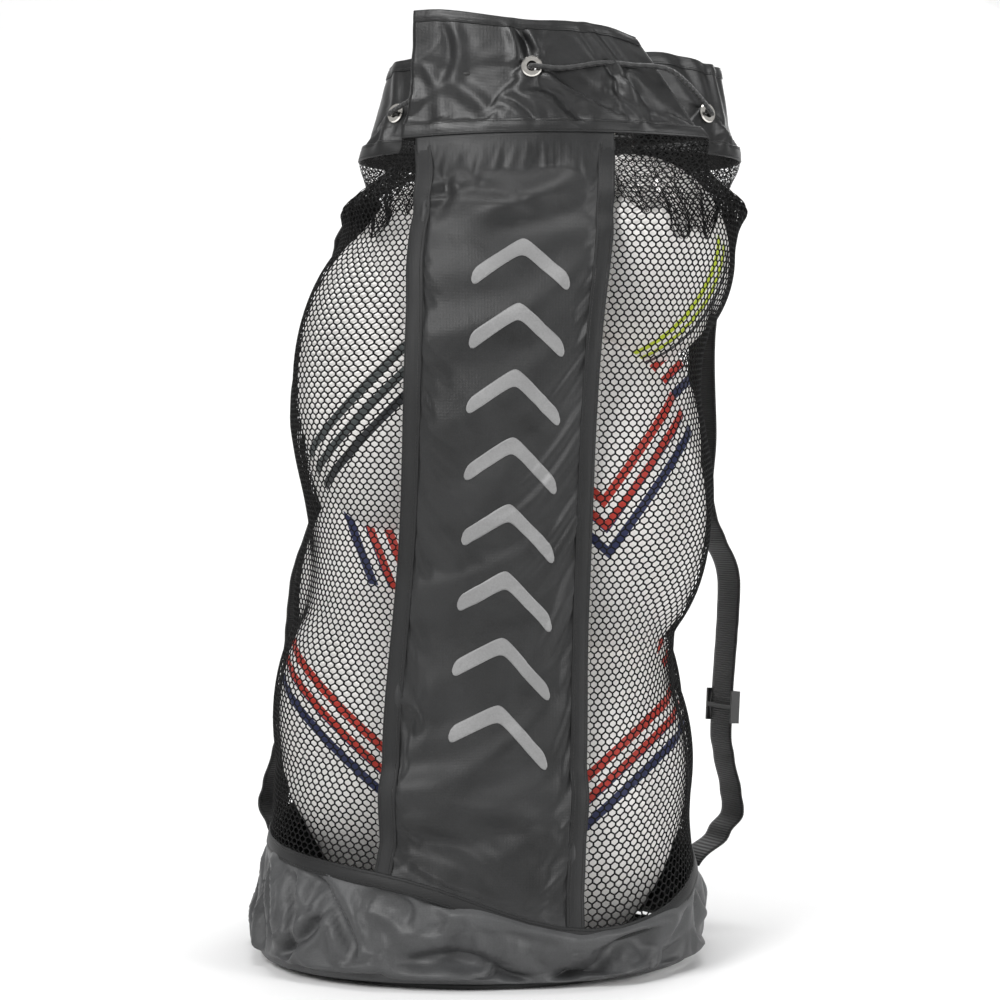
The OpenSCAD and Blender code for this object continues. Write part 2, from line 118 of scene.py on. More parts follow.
def spline(points, t):
    """Catmull-Rom curve through points, for t from 0 to 1."""
    points = np.array(points, float)
    padded = np.concatenate([2 * points[:1] - points[1:2], points, 2 * points[-1:] - points[-2:-1]])
    at = np.clip(np.asarray(t) * (len(points) - 1), 0, len(points) - 1 - 1e-9)
    i = np.floor(at).astype(int)
    f = (at - i)[..., None]
    a, b, c, d = padded[i], padded[i + 1], padded[i + 2], padded[i + 3]
    return 0.5 * (2 * b + (c - a) * f + (2 * a - 5 * b + 4 * c - d) * f**2
                  + (3 * b - a - 3 * c + d) * f**3)


def even_steps(points, step):
    """Points resampled so that they are evenly spaced along their line."""
    length = np.concatenate([[0], np.cumsum(np.linalg.norm(np.diff(points, axis=0), axis=1))])
    count = max(int(length[-1] / step), 2)
    where = np.linspace(0, length[-1], count + 1)
    return np.stack([np.interp(where, length, points[:, k]) for k in range(3)], -1)


def blur(field, passes=1):
    """Average neighbours on an angle by height grid, where the first axis wraps."""
    for _ in range(passes):
        field = 0.5 * field + 0.25 * (np.roll(field, 1, 0) + np.roll(field, -1, 0))
        up = np.concatenate([field[:, 1:], field[:, -1:]], 1)
        down = np.concatenate([field[:, :1], field[:, :-1]], 1)
        field = 0.5 * field + 0.25 * (up + down)
    return field


def sample(field, x, y, shape_steps=lambda t: t):
    """A grid's values at fractional places x and y. The first axis wraps."""
    i, j = np.floor(x).astype(int), np.floor(y).astype(int)
    extra = (1,) * (field.ndim - 2)
    fx, fy = shape_steps(x - i), shape_steps(y - j)
    fx, fy = fx.reshape(fx.shape + extra), fy.reshape(fy.shape + extra)
    i0, i1 = i % len(field), (i + 1) % len(field)
    low = mix(field[i0, j], field[i1, j], fx)
    return mix(low, mix(field[i0, j + 1], field[i1, j + 1], fx), fy)


def smooth_noise(shape, cell, seed):
    """Random field of about -1 to 1 whose lumps are cell grid steps across."""
    rng = np.random.default_rng(seed)
    coarse = rng.uniform(-1, 1, (int(shape[0] / cell[0]) + 3, int(shape[1] / cell[1]) + 3))
    x, y = np.meshgrid(np.arange(shape[0]) / cell[0], np.arange(shape[1]) / cell[1], indexing="ij")
    return sample(coarse, x, y, ease)


def new_object(name, verts, faces, uvs=None, smooth=True):
    """Mesh object. uvs holds one pair for each vertex."""
    mesh = bpy.data.meshes.new(name)
    faces = faces.tolist() if isinstance(faces, np.ndarray) else faces
    mesh.from_pydata(np.asarray(verts).tolist(), [], faces)
    mesh.polygons.foreach_set("use_smooth", [smooth] * len(mesh.polygons))
    if uvs is not None:
        layer = mesh.uv_layers.new(name="OFBake")
        corners = np.empty(len(mesh.loops), int)
        mesh.loops.foreach_get("vertex_index", corners)
        layer.data.foreach_set("uv", np.asarray(uvs, float)[corners].ravel())
    obj = bpy.data.objects.new(name, mesh)
    bpy.context.collection.objects.link(obj)
    return obj


def grid_faces(cols, rows, ring=False):
    """Quads of a grid stored column by column, each column running up through rows + 1 points."""
    count = cols if ring else cols + 1
    i, j = np.meshgrid(np.arange(cols), np.arange(rows), indexing="ij")
    here = (i % count) * (rows + 1) + j
    right = ((i + 1) % count) * (rows + 1) + j
    return np.stack([here, right, right + 1, here + 1], -1).reshape(-1, 4)


def apply_modifiers(obj):
    """Replace an object's mesh by its evaluated one."""
    depsgraph = bpy.context.evaluated_depsgraph_get()
    mesh = bpy.data.meshes.new_from_object(obj.evaluated_get(depsgraph), depsgraph=depsgraph)
    obj.modifiers.clear()
    obj.data = mesh
    return obj


def thicken(obj, thickness):
    solid = obj.modifiers.new("thickness", "SOLIDIFY")
    solid.thickness = thickness
    solid.offset = 0.0
    return apply_modifiers(obj)


class Surface:
    """A grid of points that can be looked up anywhere, with a normal on its outer side."""

    def __init__(self, grid, ring=False):
        self.grid = grid
        self.ring = ring
        if ring:
            across = np.roll(grid, -1, 0) - np.roll(grid, 1, 0)
        else:
            across = np.gradient(grid, axis=0)
        self.normal = unit(np.cross(across, np.gradient(grid, axis=1)))

    def at(self, u, v, out=0.0):
        """Points for u across and v up, both from 0 to 1, raised by out from the surface."""
        cols = self.grid.shape[0] - (0 if self.ring else 1)
        rows = self.grid.shape[1] - 1
        u, v, out = np.broadcast_arrays(u, v, out)
        x = (u % 1.0) * cols if self.ring else np.clip(u, 0, 1) * (cols - 1e-6)
        y = np.clip(v, 0, 1) * (rows - 1e-6)
        return sample(self.grid, x, y) + out[..., None] * unit(sample(self.normal, x, y))

    def mesh(self, name, holes=(), hole_r=0.0):
        """Mesh of the surface, with a round hole at each place in holes."""
        count, rows = self.grid.shape[0], self.grid.shape[1] - 1
        cols = count if self.ring else count - 1
        points = self.grid.reshape(-1, 3).copy()
        faces = grid_faces(cols, rows, self.ring)
        for hole in holes:
            away = points - np.array(hole)
            distance = np.linalg.norm(away, axis=1)
            near = distance < 1.5 * hole_r
            wanted = hole_r + distance[near] / 3
            points[near] = np.array(hole) + unit(away[near]) * wanted[:, None]
            middle = points[faces].mean(1)
            faces = faces[np.linalg.norm(middle - np.array(hole), axis=1) > 0.8 * hole_r]
        u, v = np.meshgrid(np.linspace(0, 1, count), np.linspace(0, 1, rows + 1), indexing="ij")
        return new_object(name, points, faces, np.stack([u.ravel(), v.ravel()], -1))


def unit_grid(cols, rows, ring=False):
    """u and v of a grid's points, as two arrays."""
    u = np.arange(cols + (0 if ring else 1)) / cols
    return np.meshgrid(u, np.linspace(0, 1, rows + 1), indexing="ij")


# --- the CAD wall

WALL_NODES = ("base_wall", "net_left", "net_right", "front_panel", "back_panel", "neck_gather")
MAP_ANGLES = 240
MAP_LOW = 4 * MM
MAP_STEP = 4 * MM
map_z = np.arange(MAP_LOW, NECK_Z, MAP_STEP)
map_angle = np.arange(MAP_ANGLES) * TURN / MAP_ANGLES
grid_angle, grid_z = np.meshgrid(map_angle, map_z, indexing="ij")


def cad_wall_map():
    """Distance of the CAD wall from the leaning axis, on a grid of angle and height."""
    verts, faces = [], []
    for name in WALL_NODES:
        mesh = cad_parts[name].data
        first = len(verts)
        verts += [v.co.copy() for v in mesh.vertices]
        faces += [[first + k for k in p.vertices] for p in mesh.polygons]
    tree = BVHTree.FromPolygons(verts, faces)
    field = np.full((MAP_ANGLES, len(map_z)), np.nan)
    for i, angle in enumerate(map_angle):
        ray = Vector((math.cos(angle), math.sin(angle), 0))
        for j, z in enumerate(map_z):
            hit = tree.ray_cast(Vector((LEAN * z, 0, z)), ray)
            if hit[0] is not None:
                field[i, j] = hit[3]
    for row in field:
        known = ~np.isnan(row)
        row[:] = np.interp(map_z, map_z[known], row[known])
    return blur(field, 3)


cad_wall = cad_wall_map()

# --- the load of balls

BALL_R = 93 * MM
BALL_HALF = 142 * MM
# A ball may push the wall out by its bulge, and the net lies a little over the ball
BALL_BULGE = 4 * MM
NET_OVER_BALL = 3.4 * MM
SETTLE_STEPS = 40
SETTLE_SHARE = 0.6
# Share of its give that the wall has at each height: none at the base seam or at the collar
wall_free = ease((grid_z - 0.10) / 0.08) * ease((NECK_Z - 0.02 - grid_z) / 0.05)
# Each ball: centre, and tilt of its long axis in degrees from upright about Y, then X
BALLS = {
    "ball_a": ((-0.098, -0.076, 0.510), 4, -6),
    "ball_b": ((-0.124, -0.070, 0.196), -6, 6),
    "ball_c": ((0.158, -0.030, 0.612), 14, 80),
    "ball_d": ((0.146, -0.080, 0.400), -6, 4),
    "ball_e": ((0.128, -0.082, 0.150), 6, -6),
    "ball_f": ((-0.110, 0.078, 0.178), 6, 4),
    "ball_g": ((0.150, 0.070, 0.196), 4, 4),
    "ball_h": ((-0.080, 0.072, 0.470), 4, 4),
    "ball_i": ((0.160, 0.080, 0.452), -2, -6),
    "ball_j": ((0.010, 0.060, 0.625), 78, 10),
    "ball_k": ((-0.070, 0.000, 0.340), 20, 4),
    "ball_l": ((0.150, -0.004, 0.156), 4, 4),
    "ball_m": ((-0.130, 0.000, 0.196), -4, 4),
    "ball_n": ((0.070, 0.010, 0.300), -10, 4),
}


def ball_matrix(centre, tilt_y, tilt_x):
    turn = Matrix.Rotation(math.radians(tilt_y), 4, "Y") @ Matrix.Rotation(
        math.radians(tilt_x), 4, "X"
    )
    return Matrix.Translation(centre) @ turn


def ball_reach(centre, tilt_y, tilt_x):
    """How far from the leaning axis one ball reaches over the wall's grid, or 0 where it doesn't."""
    start = np.stack([LEAN * grid_z, 0 * grid_z, grid_z], -1)
    ray = np.stack([np.cos(grid_angle), np.sin(grid_angle), 0 * grid_angle], -1)
    half = np.array([BALL_R, BALL_R, BALL_HALF])
    turn = np.array(ball_matrix((0, 0, 0), tilt_y, tilt_x).to_3x3())
    o = (start - np.array(centre)) @ turn / half
    d = ray @ turn / half
    a = (d * d).sum(-1)
    b = (o * d).sum(-1)
    c = (o * o).sum(-1) - 1
    under = b * b - a * c
    return np.where(under > 0, (-b + np.sqrt(np.maximum(under, 0))) / a, 0)


def settle_balls():
    """Move each ball inward until it only bulges the wall a little."""
    settled = {}
    for name, (centre, tilt_y, tilt_x) in BALLS.items():
        centre = np.array(centre)
        for _ in range(SETTLE_STEPS):
            excess = ball_reach(centre, tilt_y, tilt_x) + NET_OVER_BALL - cad_wall
            excess = excess - BALL_BULGE * wall_free
            i, j = np.unravel_index(np.argmax(excess), excess.shape)
            if excess[i, j] <= 0:
                break
            push = np.array([math.cos(map_angle[i]), math.sin(map_angle[i]), 0])
            centre = centre - push * excess[i, j] * SETTLE_SHARE
        settled[name] = (tuple(centre), tilt_y, tilt_x)
    return settled


BALLS = settle_balls()

# --- the dressed wall

# The net between two balls is drawn in by this much in each pass, up to a limit
DRAW_PASSES = 40
DRAW_STEP = 0.3 * MM
DRAW_MAX = 9 * MM


def dressed_wall_map():
    """The CAD wall, drawn in between the balls like a taut net."""
    reach = np.max([ball_reach(*ball) for ball in BALLS.values()], axis=0) + NET_OVER_BALL
    field = cad_wall.copy()
    for _ in range(DRAW_PASSES):
        drawn = blur(field) - DRAW_STEP
        drawn = np.maximum(np.maximum(drawn, reach), cad_wall - DRAW_MAX)
        field = mix(cad_wall, drawn, wall_free)
    return blur(field, 2)


wall_map = dressed_wall_map()


def wall_r(angle, height):
    """Distance of the dressed wall from the leaning axis."""
    turn = (np.asarray(angle) / TURN * MAP_ANGLES) % MAP_ANGLES
    up = np.clip((np.asarray(height) - MAP_LOW) / MAP_STEP, 0, len(map_z) - 1.001)
    return sample(wall_map, *np.broadcast_arrays(turn, up))


def wall_point(angle, height, out=0.0):
    r = wall_r(angle, height) + out
    return np.stack([LEAN * height + r * np.cos(angle), r * np.sin(angle), height + 0 * r], -1)


# Height of the seam between the base and the net, read off the middle of the CAD seam tape
tape = node_points("base_hem_tape")
tape_angle = np.arctan2(tape[:, 1], tape[:, 0] - LEAN * tape[:, 2]) % TURN
SEAM_STEPS = 48
seam_angles = (np.arange(SEAM_STEPS) + 0.5) * TURN / SEAM_STEPS
seam_heights = np.array([
    tape[np.abs((tape_angle - a + math.pi) % TURN - math.pi) < TURN / SEAM_STEPS, 2].mean()
    for a in seam_angles
])


def seam_z(angle):
    return np.interp(np.asarray(angle) % TURN, seam_angles, seam_heights, period=TURN)


def edge_fit(node):
    """The direction of a panel's edge as a smooth function of height, from its CAD binding."""
    points = node_points(node)
    angle = np.arctan2(points[:, 1], points[:, 0] - LEAN * points[:, 2]) % TURN
    return np.polyfit(points[:, 2], angle, 3)


EDGES = {
    side: edge_fit(f"binding_{side}")
    for side in ("front_left", "front_right", "back_left", "back_right")
}
EDGE_LOW = 0.12


def edge_angle(side, height):
    return np.polyval(EDGES[side], np.maximum(height, EDGE_LOW))


# --- the collar's shape

flap_seam = span_at("collar_flap", NECK_Z + 1 * MM)
lobe_seam = span_at("collar_lobe", NECK_Z + 1 * MM)
flap_box = box_of("collar_flap")
lobe_box = box_of("collar_lobe")
flap_rim = span_at("collar_flap", flap_box[1][2], 24 * MM)
lobe_rim = span_at("collar_lobe", lobe_box[1][2])
right_rim = node_points("collar_flap")
right_rim = right_rim[right_rim[:, 2] > flap_box[1][2] - 24 * MM]
FLAP_RIGHT_RIM_Z = right_rim[np.argmax(right_rim[:, 0]), 2]
COLLAR_MIDDLE = (0.07, 0.06)


def eyelet_places(node, count):
    """Centres of the eyelets in a CAD node, in order round the collar."""
    points = node_points(node)
    angle = np.arctan2(points[:, 1] - COLLAR_MIDDLE[1], points[:, 0] - COLLAR_MIDDLE[0])
    order = np.argsort((angle + 0.5 * math.pi) % TURN)
    return [chunk.mean(0) for chunk in np.array_split(points[order], count)]


flap_eyelet = eyelet_places("flap_eyelet_barrel", 1)
lobe_eyelets = eyelet_places("lobe_eyelet_barrels", 4)


def flap_point(u, v):
    """Front flap: u runs across from 0 to 1 and v up from the seam to the rim."""
    side = 2 * u - 1
    left = mix(flap_seam[0][0], flap_rim[0][0], v)
    right = mix(flap_seam[1][0], flap_rim[1][0], v)
    back = mix(flap_seam[1][1], flap_rim[1][1], v)
    front = mix(flap_seam[0][1], flap_rim[0][1], v)
    rim_z = mix(flap_box[1][2], FLAP_RIGHT_RIM_Z, u)
    return np.stack([mix(left, right, u), mix(back, front, 1 - side * side),
                     mix(COLLAR_Z, rim_z, v)], -1)


LOBE_FROM = math.radians(-64)
LOBE_TO = math.radians(242)


def lobe_point(u, v):
    """Back lobe: the right arm, round the back, and the left arm."""
    u, v = np.broadcast_arrays(u, v)
    low = mix(lobe_seam[0], lobe_rim[0], v[..., None])
    high = mix(lobe_seam[1], lobe_rim[1], v[..., None])
    angle = mix(LOBE_FROM, LOBE_TO, u)
    depth = (high[..., 1] - low[..., 1]) / (1 - math.sin(LOBE_FROM))
    x = (low[..., 0] + high[..., 0]) / 2 + (high[..., 0] - low[..., 0]) / 2 * np.cos(angle)
    y = high[..., 1] - depth + depth * np.sin(angle)
    return np.stack([x, y, mix(COLLAR_Z, lobe_box[1][2], v)], -1)


# The collar is one tube: at each side a pleat runs from the flap's edge back to the lobe's arm
PLEATS = {"left": (0.0, 1.0, (-8, 14), (34, -20)), "right": (1.0, 0.0, (8, 14), (-30, -20))}


def pleat_point(side, t, v):
    """t runs from the flap's edge at 0 to the lobe's arm at 1."""
    flap_u, lobe_u, first_turn, last_turn = PLEATS[side]
    start, end = flap_point(flap_u + 0 * v, v), lobe_point(lobe_u, v)
    first = start + np.array([*first_turn, 0]) * MM
    last = end + np.array([*last_turn, 0]) * MM
    t = np.asarray(t)[..., None]
    s = 1 - t
    return s**3 * start + 3 * s * s * t * first + 3 * s * t * t * last + t**3 * end


PANEL_ON_FLAP = (0.045, 0.685)


def collar_line(points):
    """Curve through places on the collar's seam, each a function with its arguments."""
    line = [place(*[np.float64(a) if not isinstance(a, str) else a for a in args])
            for place, *args in points]
    return lambda u: spline(line, u)


neck_right = collar_line(
    [(flap_point, PANEL_ON_FLAP[1], 0), (flap_point, 0.85, 0), (flap_point, 1, 0)]
    + [(pleat_point, "right", t, 0) for t in (0.35, 0.7)]
    + [(lobe_point, u, 0) for u in (0, 0.1, 0.2, 0.3, 0.4)])
neck_left = collar_line(
    [(lobe_point, u, 0) for u in (0.6, 0.7, 0.8, 0.9, 1.0)]
    + [(pleat_point, "left", t, 0) for t in (0.7, 0.35)]
    + [(flap_point, 0, 0), (flap_point, PANEL_ON_FLAP[0], 0)])


def neck_front(u):
    return flap_point(mix(*PANEL_ON_FLAP, u), 0.0 * u)


def neck_back(u):
    return lobe_point(mix(0.4, 0.6, u), 0.0 * u)


NECK_BLEND = 62 * MM


def towards_neck(points, target):
    """Draw a wall sheet's points to the collar seam over the last stretch below it."""
    t = ease((points[..., 2] - (NECK_Z - NECK_BLEND)) / NECK_BLEND) ** 1.3
    goal = target.copy()
    goal[..., 2] = points[..., 2] + (target[..., 2] - NECK_Z) * t
    return mix(points, goal, t[..., None])


SHEETS = {
    "front": ("front_left", "front_right", neck_front, 0.0),
    "right": ("front_right", "back_right", neck_right, TURN),
    "back": ("back_right", "back_left", neck_back, 0.0),
    "left": ("back_left", "front_left", neck_left, 0.0),
}


def on_sheet(name, u, v, out=0.0):
    """Points of the wall between two panel edges, from the base seam up to the collar."""
    from_side, to_side, neck, extra_turn = SHEETS[name]
    rough_z = mix(seam_heights.mean(), COLLAR_Z, v)
    start = edge_angle(from_side, rough_z)
    end = edge_angle(to_side, rough_z) + extra_turn
    angle = mix(start, end, u)
    z = mix(seam_z(angle), COLLAR_Z, v)
    return towards_neck(wall_point(angle, z, out), neck(u))


# --- materials


class Shader:
    """A material's node tree with short calls for its nodes."""

    def __init__(self, name):
        self.material = bpy.data.materials.new(name)
        self.material.use_nodes = True
        self.tree = self.material.node_tree
        self.surface = self.tree.nodes["Principled BSDF"]
        self.place = self.add("ShaderNodeTexCoord").outputs["Object"]

    def add(self, kind, **settings):
        node = self.tree.nodes.new(kind)
        for key, value in settings.items():
            setattr(node, key, value)
        return node

    def put(self, socket, value):
        if isinstance(value, bpy.types.NodeSocket):
            self.tree.links.new(value, socket)
        else:
            socket.default_value = value

    def set(self, **values):
        for key, value in values.items():
            self.put(self.surface.inputs[key.replace("_", " ")], value)

    def texture(self, node, scale):
        self.put(node.inputs["Vector"], self.place)
        node.inputs["Scale"].default_value = scale
        return node

    def noise(self, scale, detail=2.0, distortion=0.0):
        node = self.texture(self.add("ShaderNodeTexNoise"), scale)
        node.inputs["Detail"].default_value = detail
        node.inputs["Distortion"].default_value = distortion
        return node.outputs["Fac"]

    def wave(self, scale, direction):
        node = self.add("ShaderNodeTexWave", bands_direction=direction)
        return self.texture(node, scale).outputs["Fac"]

    def math(self, kind, a, b=0.0):
        node = self.add("ShaderNodeMath", operation=kind)
        self.put(node.inputs[0], a)
        self.put(node.inputs[1], b)
        return node.outputs[0]

    def times(self, a, b):
        return self.math("MULTIPLY", a, b)

    def fit(self, value, low, high):
        """Spread the middle of a noise, from 0.3 to 0.7, over low to high."""
        node = self.add("ShaderNodeMapRange")
        limits = {"Value": value, "From Min": 0.3, "From Max": 0.7, "To Min": low, "To Max": high}
        for key, limit in limits.items():
            self.put(node.inputs[key], limit)
        return node.outputs["Result"]

    def blend(self, share, a, b):
        node = self.add("ShaderNodeMix", data_type="RGBA")
        self.put(node.inputs[0], share)
        self.put(node.inputs[6], a)
        self.put(node.inputs[7], b)
        return node.outputs[2]

    def bump(self, height, distance, strength=1.0, normal=None):
        node = self.add("ShaderNodeBump")
        node.inputs["Strength"].default_value = strength
        node.inputs["Distance"].default_value = distance
        self.put(node.inputs["Height"], height)
        if normal is not None:
            self.put(node.inputs["Normal"], normal)
        return node.outputs["Normal"]


def grey(level, tint=0.0):
    return (level, level * (1 + tint * 0.4), level * (1 + tint), 1.0)


WEAVE = 260.0


def nylon(name, dark, light, rough, shine, wrinkles):
    """Coated oxford nylon: a fine weave, soft mottling, small creases and a satin sheen."""
    s = Shader(name)
    mottle = s.noise(20.0, 5.0, distortion=0.5)
    grain = s.noise(900.0, 2.0)
    shade = s.math("ADD", s.times(mottle, 0.7), s.times(grain, 0.3))
    s.set(Base_Color=s.blend(s.fit(shade, 0.0, 1.0), grey(dark, 0.03), grey(light, 0.05)))
    s.set(Roughness=s.fit(mottle, rough - 0.07, rough + 0.09))
    s.set(Sheen_Weight=0.05, Sheen_Roughness=0.35, Specular_IOR_Level=shine)
    weave = s.times(s.wave(WEAVE, "X"), s.wave(WEAVE, "Z"))
    creases = s.noise(34.0, 6.0, distortion=1.2)
    wrinkle = s.bump(creases, wrinkles * MM, 0.5)
    s.set(Normal=s.bump(weave, 0.15 * MM, 0.5, wrinkle))
    return s.material


def two_tone(name, scale, detail, dark, light, **finish):
    """A plain material of two close colours in grains of one size."""
    s = Shader(name)
    s.set(Base_Color=s.blend(s.noise(scale, detail), dark, light), **finish)
    return s.material


def webbing_cloth():
    """Ribbed webbing: fine cross ribs with a lengthwise twill."""
    s = Shader("webbing")
    ribs = s.wave(150.0, "Z")
    twill = s.noise(700.0, 2.0)
    s.set(Base_Color=s.blend(s.times(ribs, twill), grey(0.006), grey(0.022, 0.02)))
    s.set(Roughness=0.6, Sheen_Weight=0.1, Normal=s.bump(ribs, 0.5 * MM, 0.8))
    return s.material


def braid():
    s = Shader("braided_cord")
    fibre = s.noise(1500.0, 3.0)
    s.set(Base_Color=s.blend(fibre, grey(0.004), grey(0.02, 0.02)))
    s.set(Roughness=0.55, Sheen_Weight=0.12, Normal=s.bump(fibre, 0.15 * MM, 0.6))
    return s.material


def screen_print():
    s = Shader("silver_print")
    grain = s.noise(700.0, 3.0)
    cloudy = s.noise(18.0, 3.0)
    s.set(Base_Color=s.blend(s.times(grain, cloudy), grey(0.16), grey(0.34)))
    s.set(Roughness=s.fit(grain, 0.42, 0.58), Metallic=0.2, Normal=s.bump(grain, 0.1 * MM, 0.4))
    return s.material


def nickel_plate():
    s = Shader("nickel")
    smear = s.noise(300.0, 3.0)
    s.set(Base_Color=s.blend(smear, (0.70, 0.67, 0.62, 1), (0.86, 0.84, 0.80, 1)), Metallic=1.0)
    s.set(Roughness=s.fit(smear, 0.14, 0.26))
    return s.material


def moulded_plastic():
    s = Shader("moulded_plastic")
    grain = s.noise(1200.0, 2.0)
    s.set(Base_Color=s.blend(s.noise(40.0), grey(0.008), grey(0.016)))
    s.set(Roughness=s.fit(grain, 0.36, 0.5), Normal=s.bump(grain, 0.08 * MM, 0.4))
    return s.material


LOOK = {
    "panel": nylon("panel_nylon", 0.006, 0.018, 0.46, 0.38, 1.0),
    "collar": nylon("collar_nylon", 0.004, 0.014, 0.38, 0.46, 0.9),
    "base": nylon("base_nylon", 0.028, 0.064, 0.48, 0.50, 1.5),
    "tape": nylon("tape_nylon", 0.006, 0.014, 0.55, 0.30, 0.6),
    "net": two_tone("net_thread", 400.0, 2.0, grey(0.002), grey(0.007, 0.02), Roughness=0.7,
                    Specular_IOR_Level=0.15),
    "webbing": webbing_cloth(),
    "cord": braid(),
    "stitch": two_tone("sewing_thread", 900.0, 2.0, grey(0.002), grey(0.008), Roughness=0.5),
    "print": screen_print(),
    "nickel": nickel_plate(),
    "plastic": moulded_plastic(),
    "wire": two_tone("drawn_wire", 500.0, 2.0, grey(0.4), grey(0.55), Metallic=1.0, Roughness=0.3),
    "board": two_tone("board", 30.0, 4.0, grey(0.05), grey(0.08), Roughness=0.6),
}


def dress(obj, look, body, slot, *replaced):
    """Give a piece its material, its body and the CAD nodes it stands for, which are hidden. Its record
    slot is not used.
    """
    obj.data.materials.clear()
    obj.data.materials.append(LOOK[look])
    if body:
        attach(obj, body)
    if replaced:
        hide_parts(*replaced)
    return obj


def bend_with_flap(obj):
    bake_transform(obj)


# --- net

CELL_W = 8.0 * MM
CELL_ROW = 4.4 * MM
THREAD = 1.45 * MM
THREAD_DEPTH = 1.0 * MM
SIDE_HALF = 1.1 * MM
KNOT = 0.25 * MM
NET_COLS = 54
NET_ROWS = 138
NET_SPLIT = 0.5


def net_mesh(name, place, cols, rows, first_row, last_row):
    """Hexagonal netting. place(u, v, out) maps the unit square to the bag, and rows from
    first_row to last_row of the whole net are built."""
    wide = 1.0 / cols
    tall = 1.0 / rows
    half_side = SIDE_HALF / CELL_ROW * tall
    apex = tall - half_side
    corners = np.array([(0.5, half_side), (0, apex), (-0.5, half_side),
                        (-0.5, -half_side), (0, -apex), (0.5, -half_side)])
    corners[:, 0] *= wide
    inset = np.array([1 - THREAD / CELL_W, 1 - 1.15 * THREAD / (2 * CELL_ROW - SIDE_HALF)])
    hole = corners * inset
    centres = []
    for row in range(first_row, last_row):
        shift = 0.5 * (row % 2)
        for col in range(cols - row % 2):
            centres.append(((col + 0.5 + shift) * wide, (row + 0.5) * tall))
    centres = np.array(centres)
    outer = (centres[:, None, :] + corners[None]).reshape(-1, 2)
    keys = np.round(outer / np.array([wide / 4, half_side])).astype(int)
    _, first, index = np.unique(keys, axis=0, return_index=True, return_inverse=True)
    index = index.reshape(-1, 6)
    nodes = np.clip(outer[first], 0.0, 1.0)
    holes = np.clip((centres[:, None, :] + hole[None]).reshape(-1, 2), 0.0, 1.0)
    verts = np.concatenate([
        place(nodes[:, 0], nodes[:, 1], THREAD_DEPTH + KNOT),
        place(nodes[:, 0], nodes[:, 1], 0.0),
        place(holes[:, 0], holes[:, 1], THREAD_DEPTH * 0.75),
        place(holes[:, 0], holes[:, 1], THREAD_DEPTH * 0.25),
    ])
    n, h = len(nodes), len(holes)
    hole_index = np.arange(h).reshape(-1, 6)
    faces = []
    for k in range(6):
        m = (k + 1) % 6
        fa, fb = index[:, k], index[:, m]
        ha, hb = 2 * n + hole_index[:, k], 2 * n + hole_index[:, m]
        faces.append(np.stack([fa, fb, hb, ha], -1))
        faces.append(np.stack([fb + n, fa + n, ha + h, hb + h], -1))
        faces.append(np.stack([ha, hb, hb + h, ha + h], -1))
    return new_object(name, verts, np.concatenate(faces), np.concatenate([nodes, nodes, holes, holes]))


def pleats(u, v, count, depth, phase):
    """Folds of the gathered net, which die out below the collar."""
    strength = ease((v - 0.86) / 0.12)
    return depth * strength * np.sin(TURN * count * u + phase)


# Under the collar the gathered net lies double, from about this share of its height up
GATHER_FROM = 0.885
GATHER_ROWS = 30


def build_net(side):
    def place(u, v, out):
        return on_sheet(side, u, v, out + pleats(u, v, 15, 3.0 * MM, 0.6))

    def place_gather(u, v, out):
        low = GATHER_FROM + 0.022 * np.sin(TURN * 3 * u + 0.9) + 0.010 * np.sin(TURN * 11 * u)
        height = mix(low, 1.0, v)
        bunch = u + 0.006 * np.sin(TURN * 19 * u + 6 * v)
        return on_sheet(side, bunch, height, out - 1.8 * MM + pleats(u, height, 22, 2.4 * MM, 2.0))

    gather = net_mesh(f"net_{side}_gather", place_gather, 2 * NET_COLS, GATHER_ROWS, 0, GATHER_ROWS)
    dress(gather, "net", "", "net_black")
    bend_with_flap(gather)

    split = int(NET_ROWS * NET_SPLIT)
    low = net_mesh(f"net_{side}_lower", place, NET_COLS, NET_ROWS, 0, split)
    high = net_mesh(f"net_{side}_upper", place, NET_COLS, NET_ROWS, split, NET_ROWS)
    dress(low, "net", "bag", "net_black", f"net_{side}")
    dress(high, "net", "", "net_black", "neck_gather")
    bend_with_flap(high)


# --- cloth simulation


def hold_group(obj, weights):
    group = obj.vertex_groups.new(name="held")
    for index, weight in enumerate(weights):
        if weight > 0:
            group.add([index], float(weight), "REPLACE")
    return group.name


def crumple(grid, held, growth, frames, ring=False, gravity=1.0, bending=0.5, cap=12 * MM):
    """Let cloth that is larger than its place buckle between held points, and return its grid."""
    scene = bpy.context.scene
    obj = Surface(grid, ring).mesh("cloth_at_rest")
    cloth = obj.modifiers.new("cloth", "CLOTH")
    stiffness = {"tension_stiffness": 20, "compression_stiffness": 20, "shear_stiffness": 8,
                 "bending_stiffness": bending}
    swelling = {"shrink_min": -growth, "shrink_max": -growth}
    body = {"quality": 6, "mass": 0.15, "air_damping": 4}
    for key, value in (stiffness | swelling | body).items():
        setattr(cloth.settings, key, value)
    cloth.settings.vertex_group_mass = hold_group(obj, held.ravel())
    cloth.settings.effector_weights.gravity = gravity
    cloth.point_cache.frame_start = 1
    cloth.point_cache.frame_end = frames
    cloth.collision_settings.use_collision = False
    for frame_number in range(1, frames + 1):
        scene.frame_set(frame_number)
    apply_modifiers(obj)
    scene.frame_set(1)
    moved = np.empty(len(obj.data.vertices) * 3)
    obj.data.vertices.foreach_get("co", moved)
    bpy.data.objects.remove(obj)
    shift = moved.reshape(grid.shape) - grid
    length = np.linalg.norm(shift, axis=-1, keepdims=True)
    return grid + shift * np.minimum(1.0, cap / np.maximum(length, 1e-9))


# --- sewn tapes and stitches

